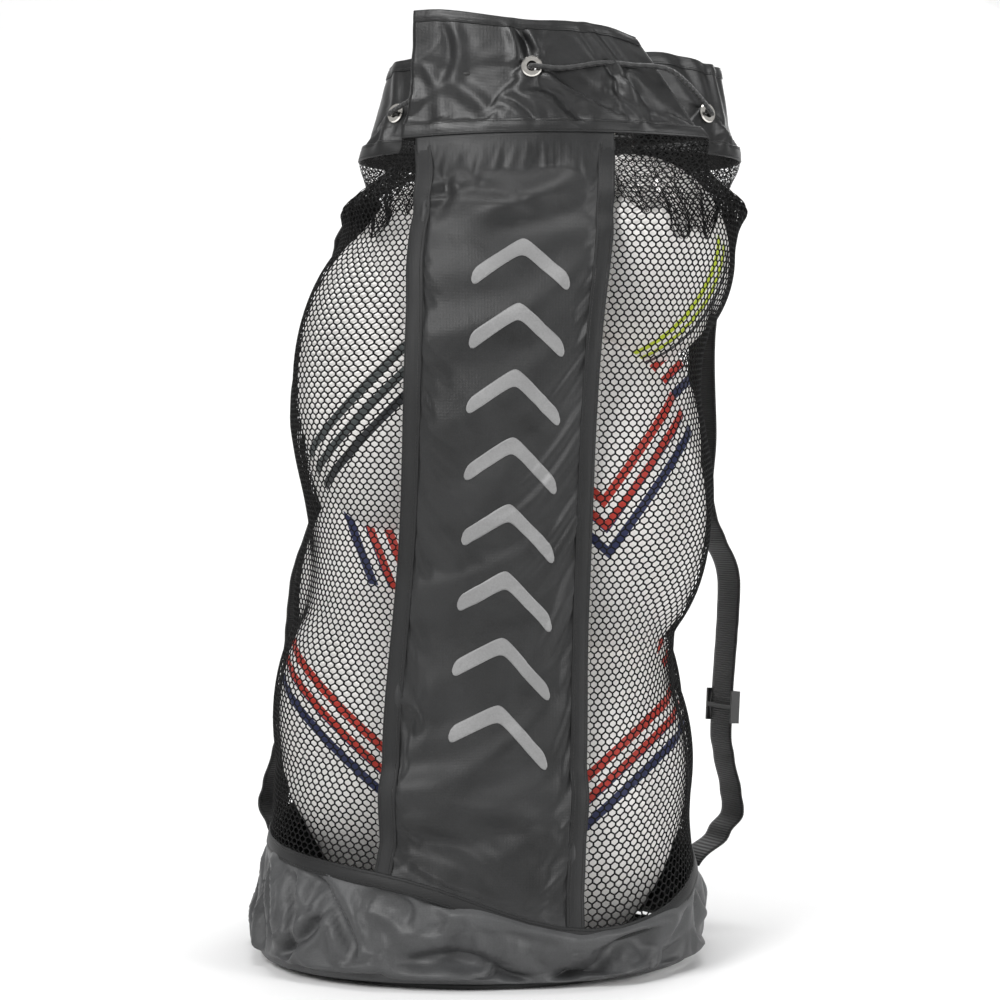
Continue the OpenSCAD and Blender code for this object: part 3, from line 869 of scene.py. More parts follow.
# Section across a tape: share of its width, and height of its face in millimetres. The two
# dips are where its rows of stitches draw it down.
TAPE_SECTION = ((0, 0.1), (0.05, 0.8), (0.17, 0.45), (0.3, 0.95), (0.7, 0.95), (0.83, 0.45),
                (0.95, 0.8), (1, 0.1))
TAPE_THICK = 0.35 * MM
STITCH_ROWS = (0.17, 0.83)
STITCH_PITCH = 3.3 * MM
STITCH_R = 0.32 * MM
STITCH_SHARE = 0.7
STITCH_SAMPLES = 500


def sewn_tape(name, place, steps, ring=False):
    """Tape along a seam. place(s, t, out) gives points for s along it and t across it."""
    s = np.arange(steps + (0 if ring else 1)) / steps
    share = np.array([t for t, _ in TAPE_SECTION])
    height = np.array([h for _, h in TAPE_SECTION]) * MM
    grid = np.stack([place(s, t + 0 * s, h) for t, h in zip(share, height)], 1)
    return thicken(Surface(grid, ring).mesh(name), TAPE_THICK)


def stitch_ends(line):
    """Start and end of each stitch along a line of points."""
    points = even_steps(line, STITCH_PITCH)
    return points[:-1], mix(points[:-1], points[1:], STITCH_SHARE)


def stitch_line(place, share):
    """Stitches along one row of a tape."""
    s = np.linspace(0, 1, STITCH_SAMPLES + 1)
    return stitch_ends(place(s, share + 0 * s, 0.75 * MM))


def stitches(name, lines, body):
    """One mesh of short threads, each a four-sided bead with pointed ends."""
    start = np.concatenate([line[0] for line in lines])
    end = np.concatenate([line[1] for line in lines])
    along = unit(end - start)
    side = unit(np.cross(along, np.array([0.31, 0.2, 0.93])))
    up = np.cross(along, side)
    rings = []
    for centre in (start, end):
        for k in range(4):
            a = k * TURN / 4
            rings.append(centre + STITCH_R * (math.cos(a) * side + math.sin(a) * up))
    tips = [start - along * STITCH_R, end + along * STITCH_R]
    verts = np.stack(rings + tips, 1)
    faces = []
    for k in range(4):
        n = (k + 1) % 4
        faces += [(k, n, n + 4, k + 4), (n, k, 8, 8), (k + 4, n + 4, 9, 9)]
    base = np.arange(len(start))[:, None, None] * verts.shape[1]
    faces = (base + np.array(faces)[None]).reshape(-1, 4)
    faces = [f[:3] if f[2] == f[3] else f for f in faces.tolist()]
    threads = new_object(name, verts.reshape(-1, 3), faces, smooth=False)
    return dress(threads, "stitch", body, "tape_black")


# --- base

BASE_COLS = 380
BASE_ROWS = 40
BASE_LOW = 6 * MM
# Folds pressed into the drum: angle and height where each starts and ends, width and depth
BASE_FOLDS = (
    (251, 34, 279, 12, 9, 17), (256, 52, 292, 38, 12, -9), (240, 22, 262, 30, 8, -7),
    (291, 8, 314, 34, 9, 15), (296, 34, 318, 52, 10, -8), (318, 20, 338, 40, 10, 9),
    (226, 84, 240, 36, 6, 10), (219, 80, 222, 30, 6, 8), (208, 92, 216, 44, 7, -7),
    (231, 60, 219, 26, 5, 8), (200, 70, 208, 24, 7, 9), (243, 78, 253, 62, 6, 6),
    (186, 84, 196, 30, 8, -7), (174, 60, 184, 24, 9, 10), (340, 66, 352, 30, 8, 8),
    (4, 70, 16, 26, 9, 10), (28, 60, 40, 22, 9, -8), (52, 70, 66, 30, 10, 10),
    (80, 40, 104, 26, 10, 13), (112, 76, 126, 34, 9, 9), (138, 60, 152, 26, 9, -8),
)


def fold_depth(x, z, fold, across):
    """Depth of one pressed fold at places x, z, for a fold whose x is scaled by across."""
    from_x, from_z, to_x, to_z, width, depth = fold
    ax, az = (to_x - from_x) * across, to_z - from_z
    length = math.hypot(ax, az)
    px, pz = (x - from_x) * across, z - from_z
    along = (px * ax + pz * az) / length**2
    side = (px * az - pz * ax) / length + 0.12 * length * np.sin(3.0 * along)
    ends = ease((along + 0.25) / 0.4) * ease((1.25 - along) / 0.4)
    lip = 0.55 * bell(side - 1.9 * width, 1.1 * width) + 0.35 * bell(side + 1.9 * width, width)
    return -depth * ends * (bell(side, width) - lip)


def build_base():
    u, v = unit_grid(BASE_COLS, BASE_ROWS, ring=True)
    angle = u * TURN
    z = mix(BASE_LOW, seam_z(angle) + 3 * MM, v)
    calm = ease(v / 0.10) * ease((1 - v) / 0.16)
    folds = sum(fold_depth(np.degrees(angle), z / MM, fold, 3.4) for fold in BASE_FOLDS)
    shape = (BASE_COLS, BASE_ROWS + 1)
    seamless = ease(np.minimum(np.arange(BASE_COLS), BASE_COLS - np.arange(BASE_COLS)) / 15)
    lumps = smooth_noise(shape, (17, 12), 5) * 2.2 + smooth_noise(shape, (7, 6), 8) * 0.9
    out = (folds * MM + lumps * seamless[:, None] * MM) * calm
    out = np.clip(out, -18 * MM, 6 * MM)
    grid = wall_point(angle, z, 0.3 * MM + out)
    below_tape = seam_z(angle) - 9 * MM - z
    held = ((v < 0.04) | (below_tape < 0)).astype(float)
    loose = crumple(grid, held, 0.045, 24, ring=True, gravity=0.6, bending=0.12, cap=9 * MM)
    share = ease(below_tape / (8 * MM)) * ease((z - 8 * MM) / (14 * MM))
    surface = Surface(mix(grid, loose, share[..., None]), ring=True)
    dress(thicken(surface.mesh("base_wall_cloth"), CLOTH), "base", "bag", "nylon_base", "base_wall")

    def on_tape(s, t, out):
        a = s * TURN
        return wall_point(a, seam_z(a) + mix(-8 * MM, 4 * MM, t), out + 1.5 * MM)

    hem = sewn_tape("base_hem_tape_cloth", on_tape, 360, ring=True)
    dress(hem, "tape", "bag", "tape_black", "base_hem_tape")
    rows = [stitch_line(on_tape, t) for t in STITCH_ROWS]
    stitches("base_stitches", rows, "bag")
    build_piping()
    build_base_disc()


def tube(name, line, radius, sides=10, ring=False, plait=0.0, pitch=9 * MM):
    """Round cord along a line of points. plait raises a crossed pattern of strands on it."""
    count = len(line)
    if ring:
        heading = unit(np.roll(line, -1, 0) - np.roll(line, 1, 0))
    else:
        heading = unit(np.gradient(line, axis=0))
    side = np.empty_like(line)
    side[0] = unit(np.cross(heading[0], np.array([0.13, 0.21, 0.97])))
    for i in range(1, count):
        side[i] = unit(side[i - 1] - heading[i] * np.dot(side[i - 1], heading[i]))
    up = np.cross(heading, side)
    step = np.concatenate([[0], np.cumsum(np.linalg.norm(np.diff(line, axis=0), axis=1))])
    turn = np.arange(sides) * TURN / sides
    phase = (step / pitch * TURN)[:, None]
    strands = np.maximum(np.cos(2 * turn[None] + phase), np.cos(2 * turn[None] - phase))
    r = radius - plait * (1 - strands)
    round_it = (np.cos(turn)[None, :, None] * side[:, None] + np.sin(turn)[None, :, None] * up[:, None])
    verts = (line[:, None] + r[..., None] * round_it).reshape(-1, 3)
    faces = []
    for i in range(count if ring else count - 1):
        a, b = i * sides, (i + 1) % count * sides
        faces += [(a + k, a + (k + 1) % sides, b + (k + 1) % sides, b + k) for k in range(sides)]
    obj = new_object(name, verts, faces)
    if not ring:
        shape = bmesh.new()
        shape.from_mesh(obj.data)
        bmesh.ops.holes_fill(shape, edges=[e for e in shape.edges if e.is_boundary])
        shape.to_mesh(obj.data)
        shape.free()
    return obj


PIPING_R = 3 * MM


def build_piping():
    """Welt sewn round the bottom edge."""
    piping_box = box_of("base_piping")
    r = piping_box[1][0] - PIPING_R
    angle = np.arange(300) * TURN / 300
    wave = 0.5 * MM * np.sin(5 * angle) + 0.35 * MM * np.sin(13 * angle + 1)
    line = np.stack([(r + wave) * np.cos(angle), (r + wave) * np.sin(angle),
                     PIPING_R + 0.9 * MM + wave], -1)
    piping = tube("base_piping_welt", line, PIPING_R, 10, ring=True)
    dress(piping, "tape", "bag", "tape_black", "base_piping")


def build_base_disc():
    """Bottom cloth, puckered towards its sewn edge."""
    r_max = box_of("base_disc")[1][0] + 3 * MM
    u, v = unit_grid(120, 14, ring=True)
    pucker = 0.5 * MM * v**3 * (1 + np.sin(36 * TURN * u))
    r = mix(1 * MM, r_max, v)
    grid = np.stack([r * np.cos(u * TURN), r * np.sin(u * TURN), 0.8 * MM + pucker + 0 * r], -1)
    disc = thicken(Surface(grid, ring=True).mesh("base_disc_cloth"), CLOTH)
    dress(disc, "base", "bag", "nylon_base", "base_disc")


# --- panels

BINDING_W = 13 * MM
PANEL_OUT = 0.4 * MM
# Drag folds in the front panel, in millimetres from its middle line and above the ground
FRONT_FOLDS = (
    (62, 694, -72, 642, 10, -3.5), (80, 672, -8, 634, 11, 3.0), (-82, 694, -62, 646, 8, 4.0),
    (-78, 658, 8, 650, 6, 2.6), (-50, 700, -40, 668, 6, 3.0), (72, 604, -70, 540, 15, -3.0),
    (80, 520, -80, 432, 16, 2.6), (78, 404, -62, 330, 13, -2.6), (80, 300, -78, 216, 15, 3.0),
    (44, 216, -82, 166, 11, -2.6), (84, 172, -40, 122, 11, 3.2), (-30, 152, 84, 100, 9, -2.8),
    (-72, 124, 16, 92, 7, 2.6), (-60, 250, -84, 190, 8, 2.4),
)


def random_folds(seed, count, width, low, high, depth):
    """Soft folds of varied slope over a sheet that is width across, in millimetres."""
    rng = np.random.default_rng(seed)
    folds = []
    for _ in range(count):
        x, z = rng.uniform(-0.4, 0.4) * width, rng.uniform(low, high)
        run, rise = rng.uniform(0.2, 0.5) * width, rng.uniform(-0.3, 0.5) * width
        sign = rng.choice((-1.0, 1.0))
        folds.append((x + run, z + rise, x - run, z - rise, rng.uniform(7, 14), sign * depth))
    return folds


def build_panel(side, cols, rows, folds, seed, *node_names):
    panel_node, left_node, right_node = node_names
    u, v = unit_grid(cols, rows)
    flat = on_sheet(side, u, v)
    width = np.linalg.norm(flat[-1] - flat[0], axis=-1)[None] / MM
    across = (u - 0.5) * width
    out = sum(fold_depth(across, flat[..., 2] / MM, fold, 1.0) for fold in folds)
    out = out + smooth_noise(u.shape, (cols * 0.24, rows * 0.045), seed) * 1.2
    calm = ease(np.minimum(u, 1 - u) / 0.10) * ease(v / 0.03) * ease((1 - v) / 0.04)
    grid = on_sheet(side, u, v, PANEL_OUT + out * calm * MM)
    held = ((u < 0.06) | (u > 0.94) | (v < 0.012) | (v > 0.985)).astype(float)
    grid = crumple(grid, held, 0.012, 16, gravity=1.0, bending=0.8, cap=4 * MM)
    surface = Surface(grid)
    cloth = thicken(surface.mesh(panel_node + "_cloth"), CLOTH)
    dress(cloth, "panel", "", "nylon_black", panel_node)
    pieces = [cloth]
    rows_of_stitches = []
    share = BINDING_W / MM / width.mean()
    for node_name, from_u, to_u in ((left_node, -0.006, share), (right_node, 1.006, 1 - share)):
        def on_tape(s, t, out, a=from_u, b=to_u):
            return on_sheet(side, mix(a, b, t), 0.004 + 0.985 * s, out + PANEL_OUT + 0.5 * MM)

        tape = sewn_tape(node_name + "_cloth", on_tape, 260)
        dress(tape, "tape", "", "tape_black", node_name)
        pieces.append(tape)
        rows_of_stitches += [stitch_line(on_tape, t) for t in STITCH_ROWS]
    pieces.append(stitches(f"{side}_panel_stitches", rows_of_stitches, ""))
    return surface, pieces


# --- printed chevrons

CHEVRONS = 8
CHEVRON_W = 0.50
CHEVRON_MIDDLE = 0.56
CHEVRON_ROUND = 0.14
PRINT_THICK = 0.2 * MM
CHEVRON_BAR = 15 * MM
CHEVRON_RISE = 34 * MM
PRINT_OUT = 0.75 * MM


def build_motif(surface):
    """A column of round-ended chevrons printed on the panel, following its folds."""
    motif_low, motif_high = box_of("front_motif")
    low_z, high_z = motif_low[2], motif_high[2]
    pitch = (high_z - low_z - CHEVRON_RISE - CHEVRON_BAR) / (CHEVRONS - 1)
    sheet_low, sheet_high = surface.grid[..., 2].min(), surface.grid[..., 2].max()
    parts = []
    for k in range(CHEVRONS):
        u, v = unit_grid(64, 8)
        side = 2 * u - 1
        near_end = ((np.abs(side) - (1 - CHEVRON_ROUND)) / CHEVRON_ROUND).clip(0, 1)
        round_end = np.sqrt(np.clip(1 - near_end**2, 0.02, 1))
        rise = CHEVRON_RISE * (1 - np.sqrt(side**2 + 0.01))
        z = low_z + k * pitch + rise + CHEVRON_BAR * (0.5 + (v - 0.5) * round_end)
        place_v = (z - sheet_low) / (sheet_high - sheet_low)
        grid = surface.at(CHEVRON_MIDDLE + side * CHEVRON_W / 2, place_v, PRINT_OUT)
        parts.append(thicken(Surface(grid).mesh(f"chevron_{k}"), PRINT_THICK))
    join(parts, "front_motif_print")
    dress(parts[0], "print", "bag", "print_silver", "front_motif")


def join(parts, name):
    with bpy.context.temp_override(active_object=parts[0], selected_editable_objects=parts):
        bpy.ops.object.join()
    parts[0].name = name
    parts[0].data.name = name


# --- collar

EYELET_HOLE = 5.6 * MM
SEAM_TAPE = 13 * MM
RIM_HEM = 10 * MM
# Folds of the front flap, in millimetres from its left end and above its seam
FLAP_FOLDS = (
    (124, 100, 119, 66, 6, 8.0), (126, 46, 158, 8, 8, 5.5), (50, 98, 40, 48, 7, -3.2),
    (40, 48, 78, 14, 7, -3.0), (92, 34, 116, 12, 5, 3.2), (208, 98, 206, 2, 6, -6.0),
    (212, 66, 228, 50, 5, 5.0), (210, 74, 206, 44, 4, 4.0), (20, 60, 30, 10, 7, -2.0),
    (150, 88, 190, 70, 9, 2.6),
)
# The back lobe's length along its seam in millimetres, and its folds in the same way
LOBE_LENGTH = 690
LOBE_FOLDS = (
    (40, 95, 70, 20, 9, 3.0), (96, 90, 84, 10, 7, -3.5), (150, 80, 120, 20, 12, 4.0),
    (230, 90, 260, 10, 14, -4.0), (330, 80, 300, 10, 12, 4.0), (420, 95, 450, 10, 12, -4.0),
    (520, 90, 500, 15, 12, 4.0), (590, 85, 612, 10, 8, -3.5), (650, 90, 640, 15, 8, 3.5),
)


def fade_at(points, places, radius):
    """A share that is 0 at each place and grows to 1 away from it."""
    share = np.ones(points.shape[:-1])
    for place in places:
        share = share * (1 - bell(np.linalg.norm(points - place, axis=-1), radius))
    return share


def collar_tapes(name, body, surface, height, steps):
    """Seam tape and rim hem of a collar piece, with their stitches."""
    def on_seam(s, t, out):
        return surface.at(s, mix(0.0, SEAM_TAPE / height, t), out + 0.5 * MM)

    def on_hem(s, t, out):
        return surface.at(s, mix(1 - RIM_HEM / height, 1.0, t), out + 0.5 * MM)

    seam = sewn_tape(name + "_seam", on_seam, steps)
    hem = sewn_tape(name + "_hem", on_hem, steps)
    join([seam, hem], name + "_tapes")
    rows = [stitch_line(on_seam, t) for t in STITCH_ROWS] + [stitch_line(on_hem, STITCH_ROWS[0])]
    dress(seam, "collar", body, "nylon_collar", name + "_tapes")
    stitches(name + "_stitches", rows, body)


def held_collar(flat, v, eyelets):
    """Where a collar piece is sewn down: its seam and round its eyelets."""
    return ((v < 0.12) | (fade_at(flat, eyelets, 9 * MM) < 0.6)).astype(float)


def sew_collar(node, body, grid, held, eyelets, height, steps):
    """Crumple one collar piece, pierce it for its eyelets and add its tapes and stitches."""
    surface = Surface(crumple(grid, held, 0.02, 14, gravity=0.3, bending=0.8, cap=4 * MM))
    cloth = thicken(surface.mesh(node + "_cloth", eyelets, EYELET_HOLE), CLOTH)
    dress(cloth, "collar", body, "nylon_collar", node)
    collar_tapes(node, body, surface, height, steps)
    return surface


def build_flap():
    u, v = unit_grid(96, 38)
    flat = flap_point(u, v)
    width = (flap_seam[1][0] - flap_seam[0][0]) / MM
    height = flap_box[1][2] - COLLAR_Z
    depth = sum(fold_depth(u * width, v * height / MM, fold, 1.0) for fold in FLAP_FOLDS)
    depth = 0.75 * depth + smooth_noise(u.shape, (20, 26), 3) * 0.9
    calm = ease(v / 0.14) * fade_at(flat, flap_eyelet, 13 * MM)
    grid = Surface(flat).at(u, v, depth * calm * MM)
    grid[..., 1] += 10 * MM * ease((u - 0.86) / 0.14) * v
    grid[..., 2] += 2.2 * MM * np.sin(9 * u + 0.6) * v**2
    held = held_collar(flat, v, flap_eyelet)
    return sew_collar("collar_flap", "mouth_flap", grid, held, flap_eyelet, height, 110)


def build_lobe():
    u, v = unit_grid(240, 36)
    flat = lobe_point(u, v)
    height = lobe_box[1][2] - COLLAR_Z
    depth = sum(fold_depth(u * LOBE_LENGTH, v * height / MM, fold, 1.0) for fold in LOBE_FOLDS)
    depth = 0.8 * depth + smooth_noise(u.shape, (26, 24), 4) * 1.3
    calm = ease(v / 0.14) * fade_at(flat, lobe_eyelets, 14 * MM)
    grid = Surface(flat).at(u, v, depth * calm * MM)
    grid[..., 2] += (2.4 * MM * np.sin(16 * u + 1.0) + 1.4 * MM * np.sin(37 * u)) * v**2
    held = held_collar(flat, v, lobe_eyelets)
    return sew_collar("collar_lobe", "bag", grid, held, lobe_eyelets, height, 260)


def build_pleats(flap, lobe):
    """The collar's cloth between the flap and the lobe."""
    for side, (flap_u, lobe_u, _, _) in PLEATS.items():
        t, v = unit_grid(36, 36)
        grid = pleat_point(side, t, v)
        start_gap = (flap.at(flap_u, v) - flap_point(flap_u + 0 * v, v)) * (1 - t)[..., None]
        end_gap = (lobe.at(lobe_u, v) - lobe_point(lobe_u + 0 * v, v)) * t[..., None]
        pleat = thicken(Surface(grid + start_gap + end_gap).mesh(f"collar_pleat_{side}"), CLOTH)
        dress(pleat, "collar", "", "nylon_collar")
        tuple(lobe_point(lobe_u, 0.5))
        tuple(flap_point(np.float64(flap_u), 0.5))
        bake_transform(pleat)


# --- cord

CORD_R = 2.3 * MM
PLAIT = 0.38 * MM
CORD_STEP = 0.9 * MM
CORD_LIFT = 3.3 * MM
THROUGH = 6 * MM


def tail_line(side):
    """Straight middle line of one cord tail, from its top to its end."""
    points = node_points("cord_tails")
    points = points[(points[:, 0] - points[:, 0].mean()) * side > 0]
    top = points[points[:, 2] > points[:, 2].max() - 6 * MM].mean(0)
    end = points[points[:, 2] < points[:, 2].min() + 6 * MM].mean(0)
    return top, end


def through(surface, u, v, distance):
    """The place on the axis of the eyelet at u, v that is distance outside the cloth."""
    return surface.at(np.float64(u), np.float64(v), np.float64(distance))


LOBE_EYELET_V = 0.42
LOBE_EYELET_US = (0.10, 0.44, 0.56, 0.90)
FLAP_EYELET = (0.47, 0.54)


def build_cord(flap, lobe):
    """The drawcord goes in and out of its eyelets, from one tail round the collar to the other."""
    us = LOBE_EYELET_US

    def inside(from_u, to_u):
        return [through(lobe, u, LOBE_EYELET_V, -5.5 * MM) for u in np.linspace(from_u, to_u, 12)[1:-1]]

    def pair(surface, u, v, first):
        return [through(surface, u, v, first), through(surface, u, v, -first)]

    front = [flap_point(np.float64(1.03), np.float64(0.62)) + np.array([2, -3, 0]) * MM]
    front += [through(flap, u, v, CORD_LIFT) for u, v in ((0.88, 0.66), (0.76, 0.64), (0.6, 0.57))]
    behind = [through(flap, u, 0.5, -8 * MM) for u in (0.40, 0.32, 0.24, 0.16)]
    main = ([through(lobe, us[1], LOBE_EYELET_V, -THROUGH)] + inside(us[1], us[0])
            + pair(lobe, us[0], LOBE_EYELET_V, -THROUGH) + front
            + pair(flap, *FLAP_EYELET, THROUGH) + behind
            + pair(lobe, us[3], LOBE_EYELET_V, THROUGH) + inside(us[3], us[2])
            + [through(lobe, us[2], LOBE_EYELET_V, -THROUGH)])
    line = even_steps(spline(main, np.linspace(0, 1, 3000)), CORD_STEP)
    cord = tube("draw_cord_braid", line, CORD_R, 12, plait=PLAIT)
    dress(cord, "cord", "", "cord_black", "draw_cord")
    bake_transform(cord)
    for side, u in ((1, us[1]), (-1, us[2])):
        top, end = tail_line(side)
        down = unit(end - top)
        lead = [through(lobe, u, LOBE_EYELET_V, d) for d in (-THROUGH, 4 * MM, 11 * MM)]
        lead += [mix(lead[-1], top, 0.6) + np.array([0, 3, 6]) * MM, top - down * 5 * MM,
                 top + down * 1 * MM]
        name = "right" if side > 0 else "left"
        line = even_steps(spline(lead, np.linspace(0, 1, 300)), CORD_STEP)
        obj = tube(f"cord_lead_{name}", line, CORD_R - 0.02 * MM, 12, plait=PLAIT)
        dress(obj, "cord", "", "cord_black")
        tuple(lead[2])
        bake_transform(obj)
        tail = even_steps(np.array([top, end]), CORD_STEP)
        obj = tube(f"cord_tail_{name}", tail, CORD_R, 12, plait=PLAIT)
        dress(obj, "cord", "cord_ends", "cord_black", "cord_tails")
    build_knot()


def build_knot():
    """Both tails end in one tight knot."""
    low, high = box_of("cord_knots")
    centre = (low + high) / 2
    t = np.linspace(0, TURN, 220, endpoint=False)
    size = 1.9 * MM
    line = np.stack([np.sin(t) + 2 * np.sin(2 * t), -1.6 * np.sin(3 * t),
                     np.cos(t) - 2 * np.cos(2 * t)], -1) * size + centre
    knot = tube("cord_knot", line, CORD_R, 12, ring=True, plait=PLAIT, pitch=6 * MM)
    ends = []
    for side in (-1, 1):
        start = centre + np.array([side * 2.6, 0.5, -4]) * MM
        end = centre + np.array([side * 4.2, 2.5, -15]) * MM
        ends.append(tube(f"cord_end_{side}", even_steps(np.array([start, end]), CORD_STEP),
                         CORD_R, 12, plait=PLAIT))
    join([knot, *ends], "cord_knot")
    dress(knot, "cord", "cord_ends", "cord_black", "cord_knots")


SPRING_WIRE_R = 0.4 * MM
SPRING_TURNS = 3


def build_spring():
    """Coil spring in the cord lock."""
    low, high = box_of("cord_lock_spring")
    centre = (low + high) / 2
    coil_r = (high[1] - low[1]) / 2 - SPRING_WIRE_R
    t = np.linspace(0, 1, 160)
    turn = t * SPRING_TURNS * TURN
    along = mix(low[0] + SPRING_WIRE_R, high[0] - SPRING_WIRE_R, t)
    line = np.stack([along, centre[1] + coil_r * np.cos(turn), centre[2] + coil_r * np.sin(turn)], -1)
    spring = tube("cord_lock_coil", line, SPRING_WIRE_R, 8)
    dress(spring, "wire", "cord_lock", "spring_steel", "cord_lock_spring")
    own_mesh(spring)


# --- straps

STRAP_SIDES = 10
STRAP_THICK = 1.5 * MM
STRAP_SINK = 11 * MM
STRAP_RIPPLE = 1.6 * MM
STRAP_PASSES = 400


def strap_frame(side):
    """Middle line of the CAD webbing, its crosswise direction and its half width."""
    points = node_points(f"strap_{side}_webbing")
    heights = np.linspace(points[:, 2].min(), points[:, 2].max(), 60)
    line = []
    for z in heights:
        weight = bell(points[:, 2] - z, 12 * MM)[:, None]
        line.append((points * weight).sum(0) / weight.sum())
    line = np.array(line)
    line[:, 2] = heights
    low = points[points[:, 2] < heights[0] + 4 * MM]
    far = low - low.mean(0)
    reach = far[np.argmax(np.abs(far[:, :2]).sum(1))]
    across = unit(np.array([reach[0], reach[1], 0.0]))
    half = np.abs(far @ across).max()
    return line, across, half


# Above this height the strap may leave its CAD line
STRAP_FREE_Z = 0.32
STRAP_OVER_WALL = 16 * MM
STRAP_BACK = math.radians(3)


def hang_behind(line, across, sign):
    """Above the slider the strap hangs flat against the wall, turned towards the back."""
    z = line[:, 2]
    angle = np.arctan2(line[:, 1], line[:, 0] - LEAN * z)
    free = ease((z - STRAP_FREE_Z) / 0.12)
    top = ease((z[-1] - z) / 0.12)
    angle = angle + sign * STRAP_BACK * free * top
    r = np.hypot(line[:, 1], line[:, 0] - LEAN * z)
    wall = wall_r(angle, z) + STRAP_OVER_WALL
    taut = np.minimum(r, wall)
    for _ in range(STRAP_PASSES):
        taut[1:-1] = np.maximum((taut[:-2] + taut[2:]) / 2, np.minimum(r, wall)[1:-1])
    r = mix(r, np.minimum(r, taut), free)
    line = np.stack([LEAN * z + r * np.cos(angle), r * np.sin(angle), z], -1)
    flat = np.stack([-np.sin(angle), np.cos(angle), 0 * z], -1)
    flat *= np.sign(flat @ across)[:, None]
    return line, unit(mix(across, flat, (free * top)[:, None]))


def build_strap(side):
    line, across, half = strap_frame(side)
    line = spline(line, np.linspace(0, 1, 220))
    s = np.linspace(0, 1, len(line))
    line, across = hang_behind(line, across, 1 if side == "right" else -1)
    outward = unit(np.cross(across, np.array([0, 0, 1.0])))
    outward *= np.sign((outward * line * np.array([1, 1, 0])).sum(1))[:, None]
    sink = STRAP_SINK * (ease(1 - s / 0.05) + ease((s - 0.955) / 0.045))
    ripple = STRAP_RIPPLE * np.sin(s * 19 + 0.4) * np.sin(math.pi * s)
    line = line + outward * (ripple - sink)[:, None]
    slope = unit(np.gradient(line, axis=0))
    face = unit(np.cross(across, slope))
    t = np.linspace(-1, 1, STRAP_SIDES + 1)
    cup = 0.5 * MM * (1 - t**2)
    twist = 0.05 * np.sin(s * 7)[:, None] * t[None] * half
    grid = (line[:, None] + across[:, None] * (t * half)[None, :, None]
            + face[:, None] * (cup[None] + twist)[..., None])
    strap = Surface(grid).mesh(f"strap_{side}_ribbon")
    thicken(strap, STRAP_THICK)
    dress(strap, "webbing", f"strap_{side}", "webbing_black", f"strap_{side}_webbing")


def build_tabs():
    """Patches sewn on the bag where the straps end, with a stitched box and cross."""
    corners = ((0.1, 0.1), (0.9, 0.1), (0.9, 0.9), (0.1, 0.9), (0.1, 0.1), (0.9, 0.9))
    thread_path = [*zip(corners, corners[1:]), ((0.9, 0.1), (0.1, 0.9))]
    for node, label in (("strap_top_tabs", "top"), ("strap_base_tabs", "base")):
        points = node_points(node)
        patches, lines = [], []
        for sign in (-1, 1):
            mine = points[(points[:, 0] - points[:, 0].mean()) * sign > 0]
            angle = np.arctan2(mine[:, 1], mine[:, 0] - LEAN * mine[:, 2])
            z0, z1 = mine[:, 2].min(), mine[:, 2].max()
            a0, a1 = angle.min(), angle.max()

            def on_patch(u, v, out, a0=a0, a1=a1, z0=z0, z1=z1):
                return wall_point(mix(a0, a1, u), mix(z0, z1, v), out + 1.6 * MM)

            u, v = unit_grid(16, 14)
            rim = np.minimum(np.minimum(u, 1 - u), np.minimum(v, 1 - v))
            grid = on_patch(u, v, 0.8 * MM * ease(rim / 0.08))
            patches.append(thicken(Surface(grid).mesh(f"tab_{label}"), 0.8 * MM))
            for (u0, v0), (u1, v1) in thread_path:
                s = np.linspace(0, 1, 60)
                lines.append(stitch_ends(on_patch(mix(u0, u1, s), mix(v0, v1, s), 1.4 * MM)))
        join(patches, f"strap_{label}_patches")
        dress(patches[0], "webbing", "bag", "tape_black", node)
        stitches(f"strap_{label}_stitches", lines, "bag")


# --- balls, floor, light, camera


def ball_skin(name, first, second, kind):
    """Pebbled white rubber with plain coloured bars."""
    s = Shader(name)
    split = s.add("ShaderNodeSeparateXYZ")
    s.put(split.inputs[0], s.place)
    x, y, z = split.outputs
    lean = s.math("ABSOLUTE", x) if kind == "chevron" else x
    line = s.math("ADD", z, s.times(lean, -1.1))
    bars = s.math("FRACT", s.times(line, 46.0))
    bar = s.math("LESS_THAN", bars, 0.5)
    zone = s.math("LESS_THAN", s.math("ABSOLUTE", s.math("ADD", line, 0.02)), 0.034)
    front = s.math("GREATER_THAN", s.times(y, -1.0), -0.02)
    mask = s.times(s.times(bar, zone), front)
    which = s.math("GREATER_THAN", s.math("ADD", line, 0.02), 0.0)
    ink = s.blend(which, first, second)
    white = s.blend(s.noise(14.0), (0.90, 0.87, 0.84, 1), (0.96, 0.94, 0.92, 1))
    s.set(Base_Color=s.blend(mask, white, ink), Roughness=0.55)
    pebble = s.texture(s.add("ShaderNodeTexVoronoi"), 420.0)
    s.set(Normal=s.bump(pebble.outputs["Distance"], 0.5 * MM, 0.5))
    return s.material


NAVY = (0.012, 0.018, 0.08, 1)
RED = (0.50, 0.03, 0.015, 1)
INK = (0.02, 0.022, 0.025, 1)
SLATE = (0.06, 0.07, 0.07, 1)
LIME = (0.56, 0.68, 0.02, 1)


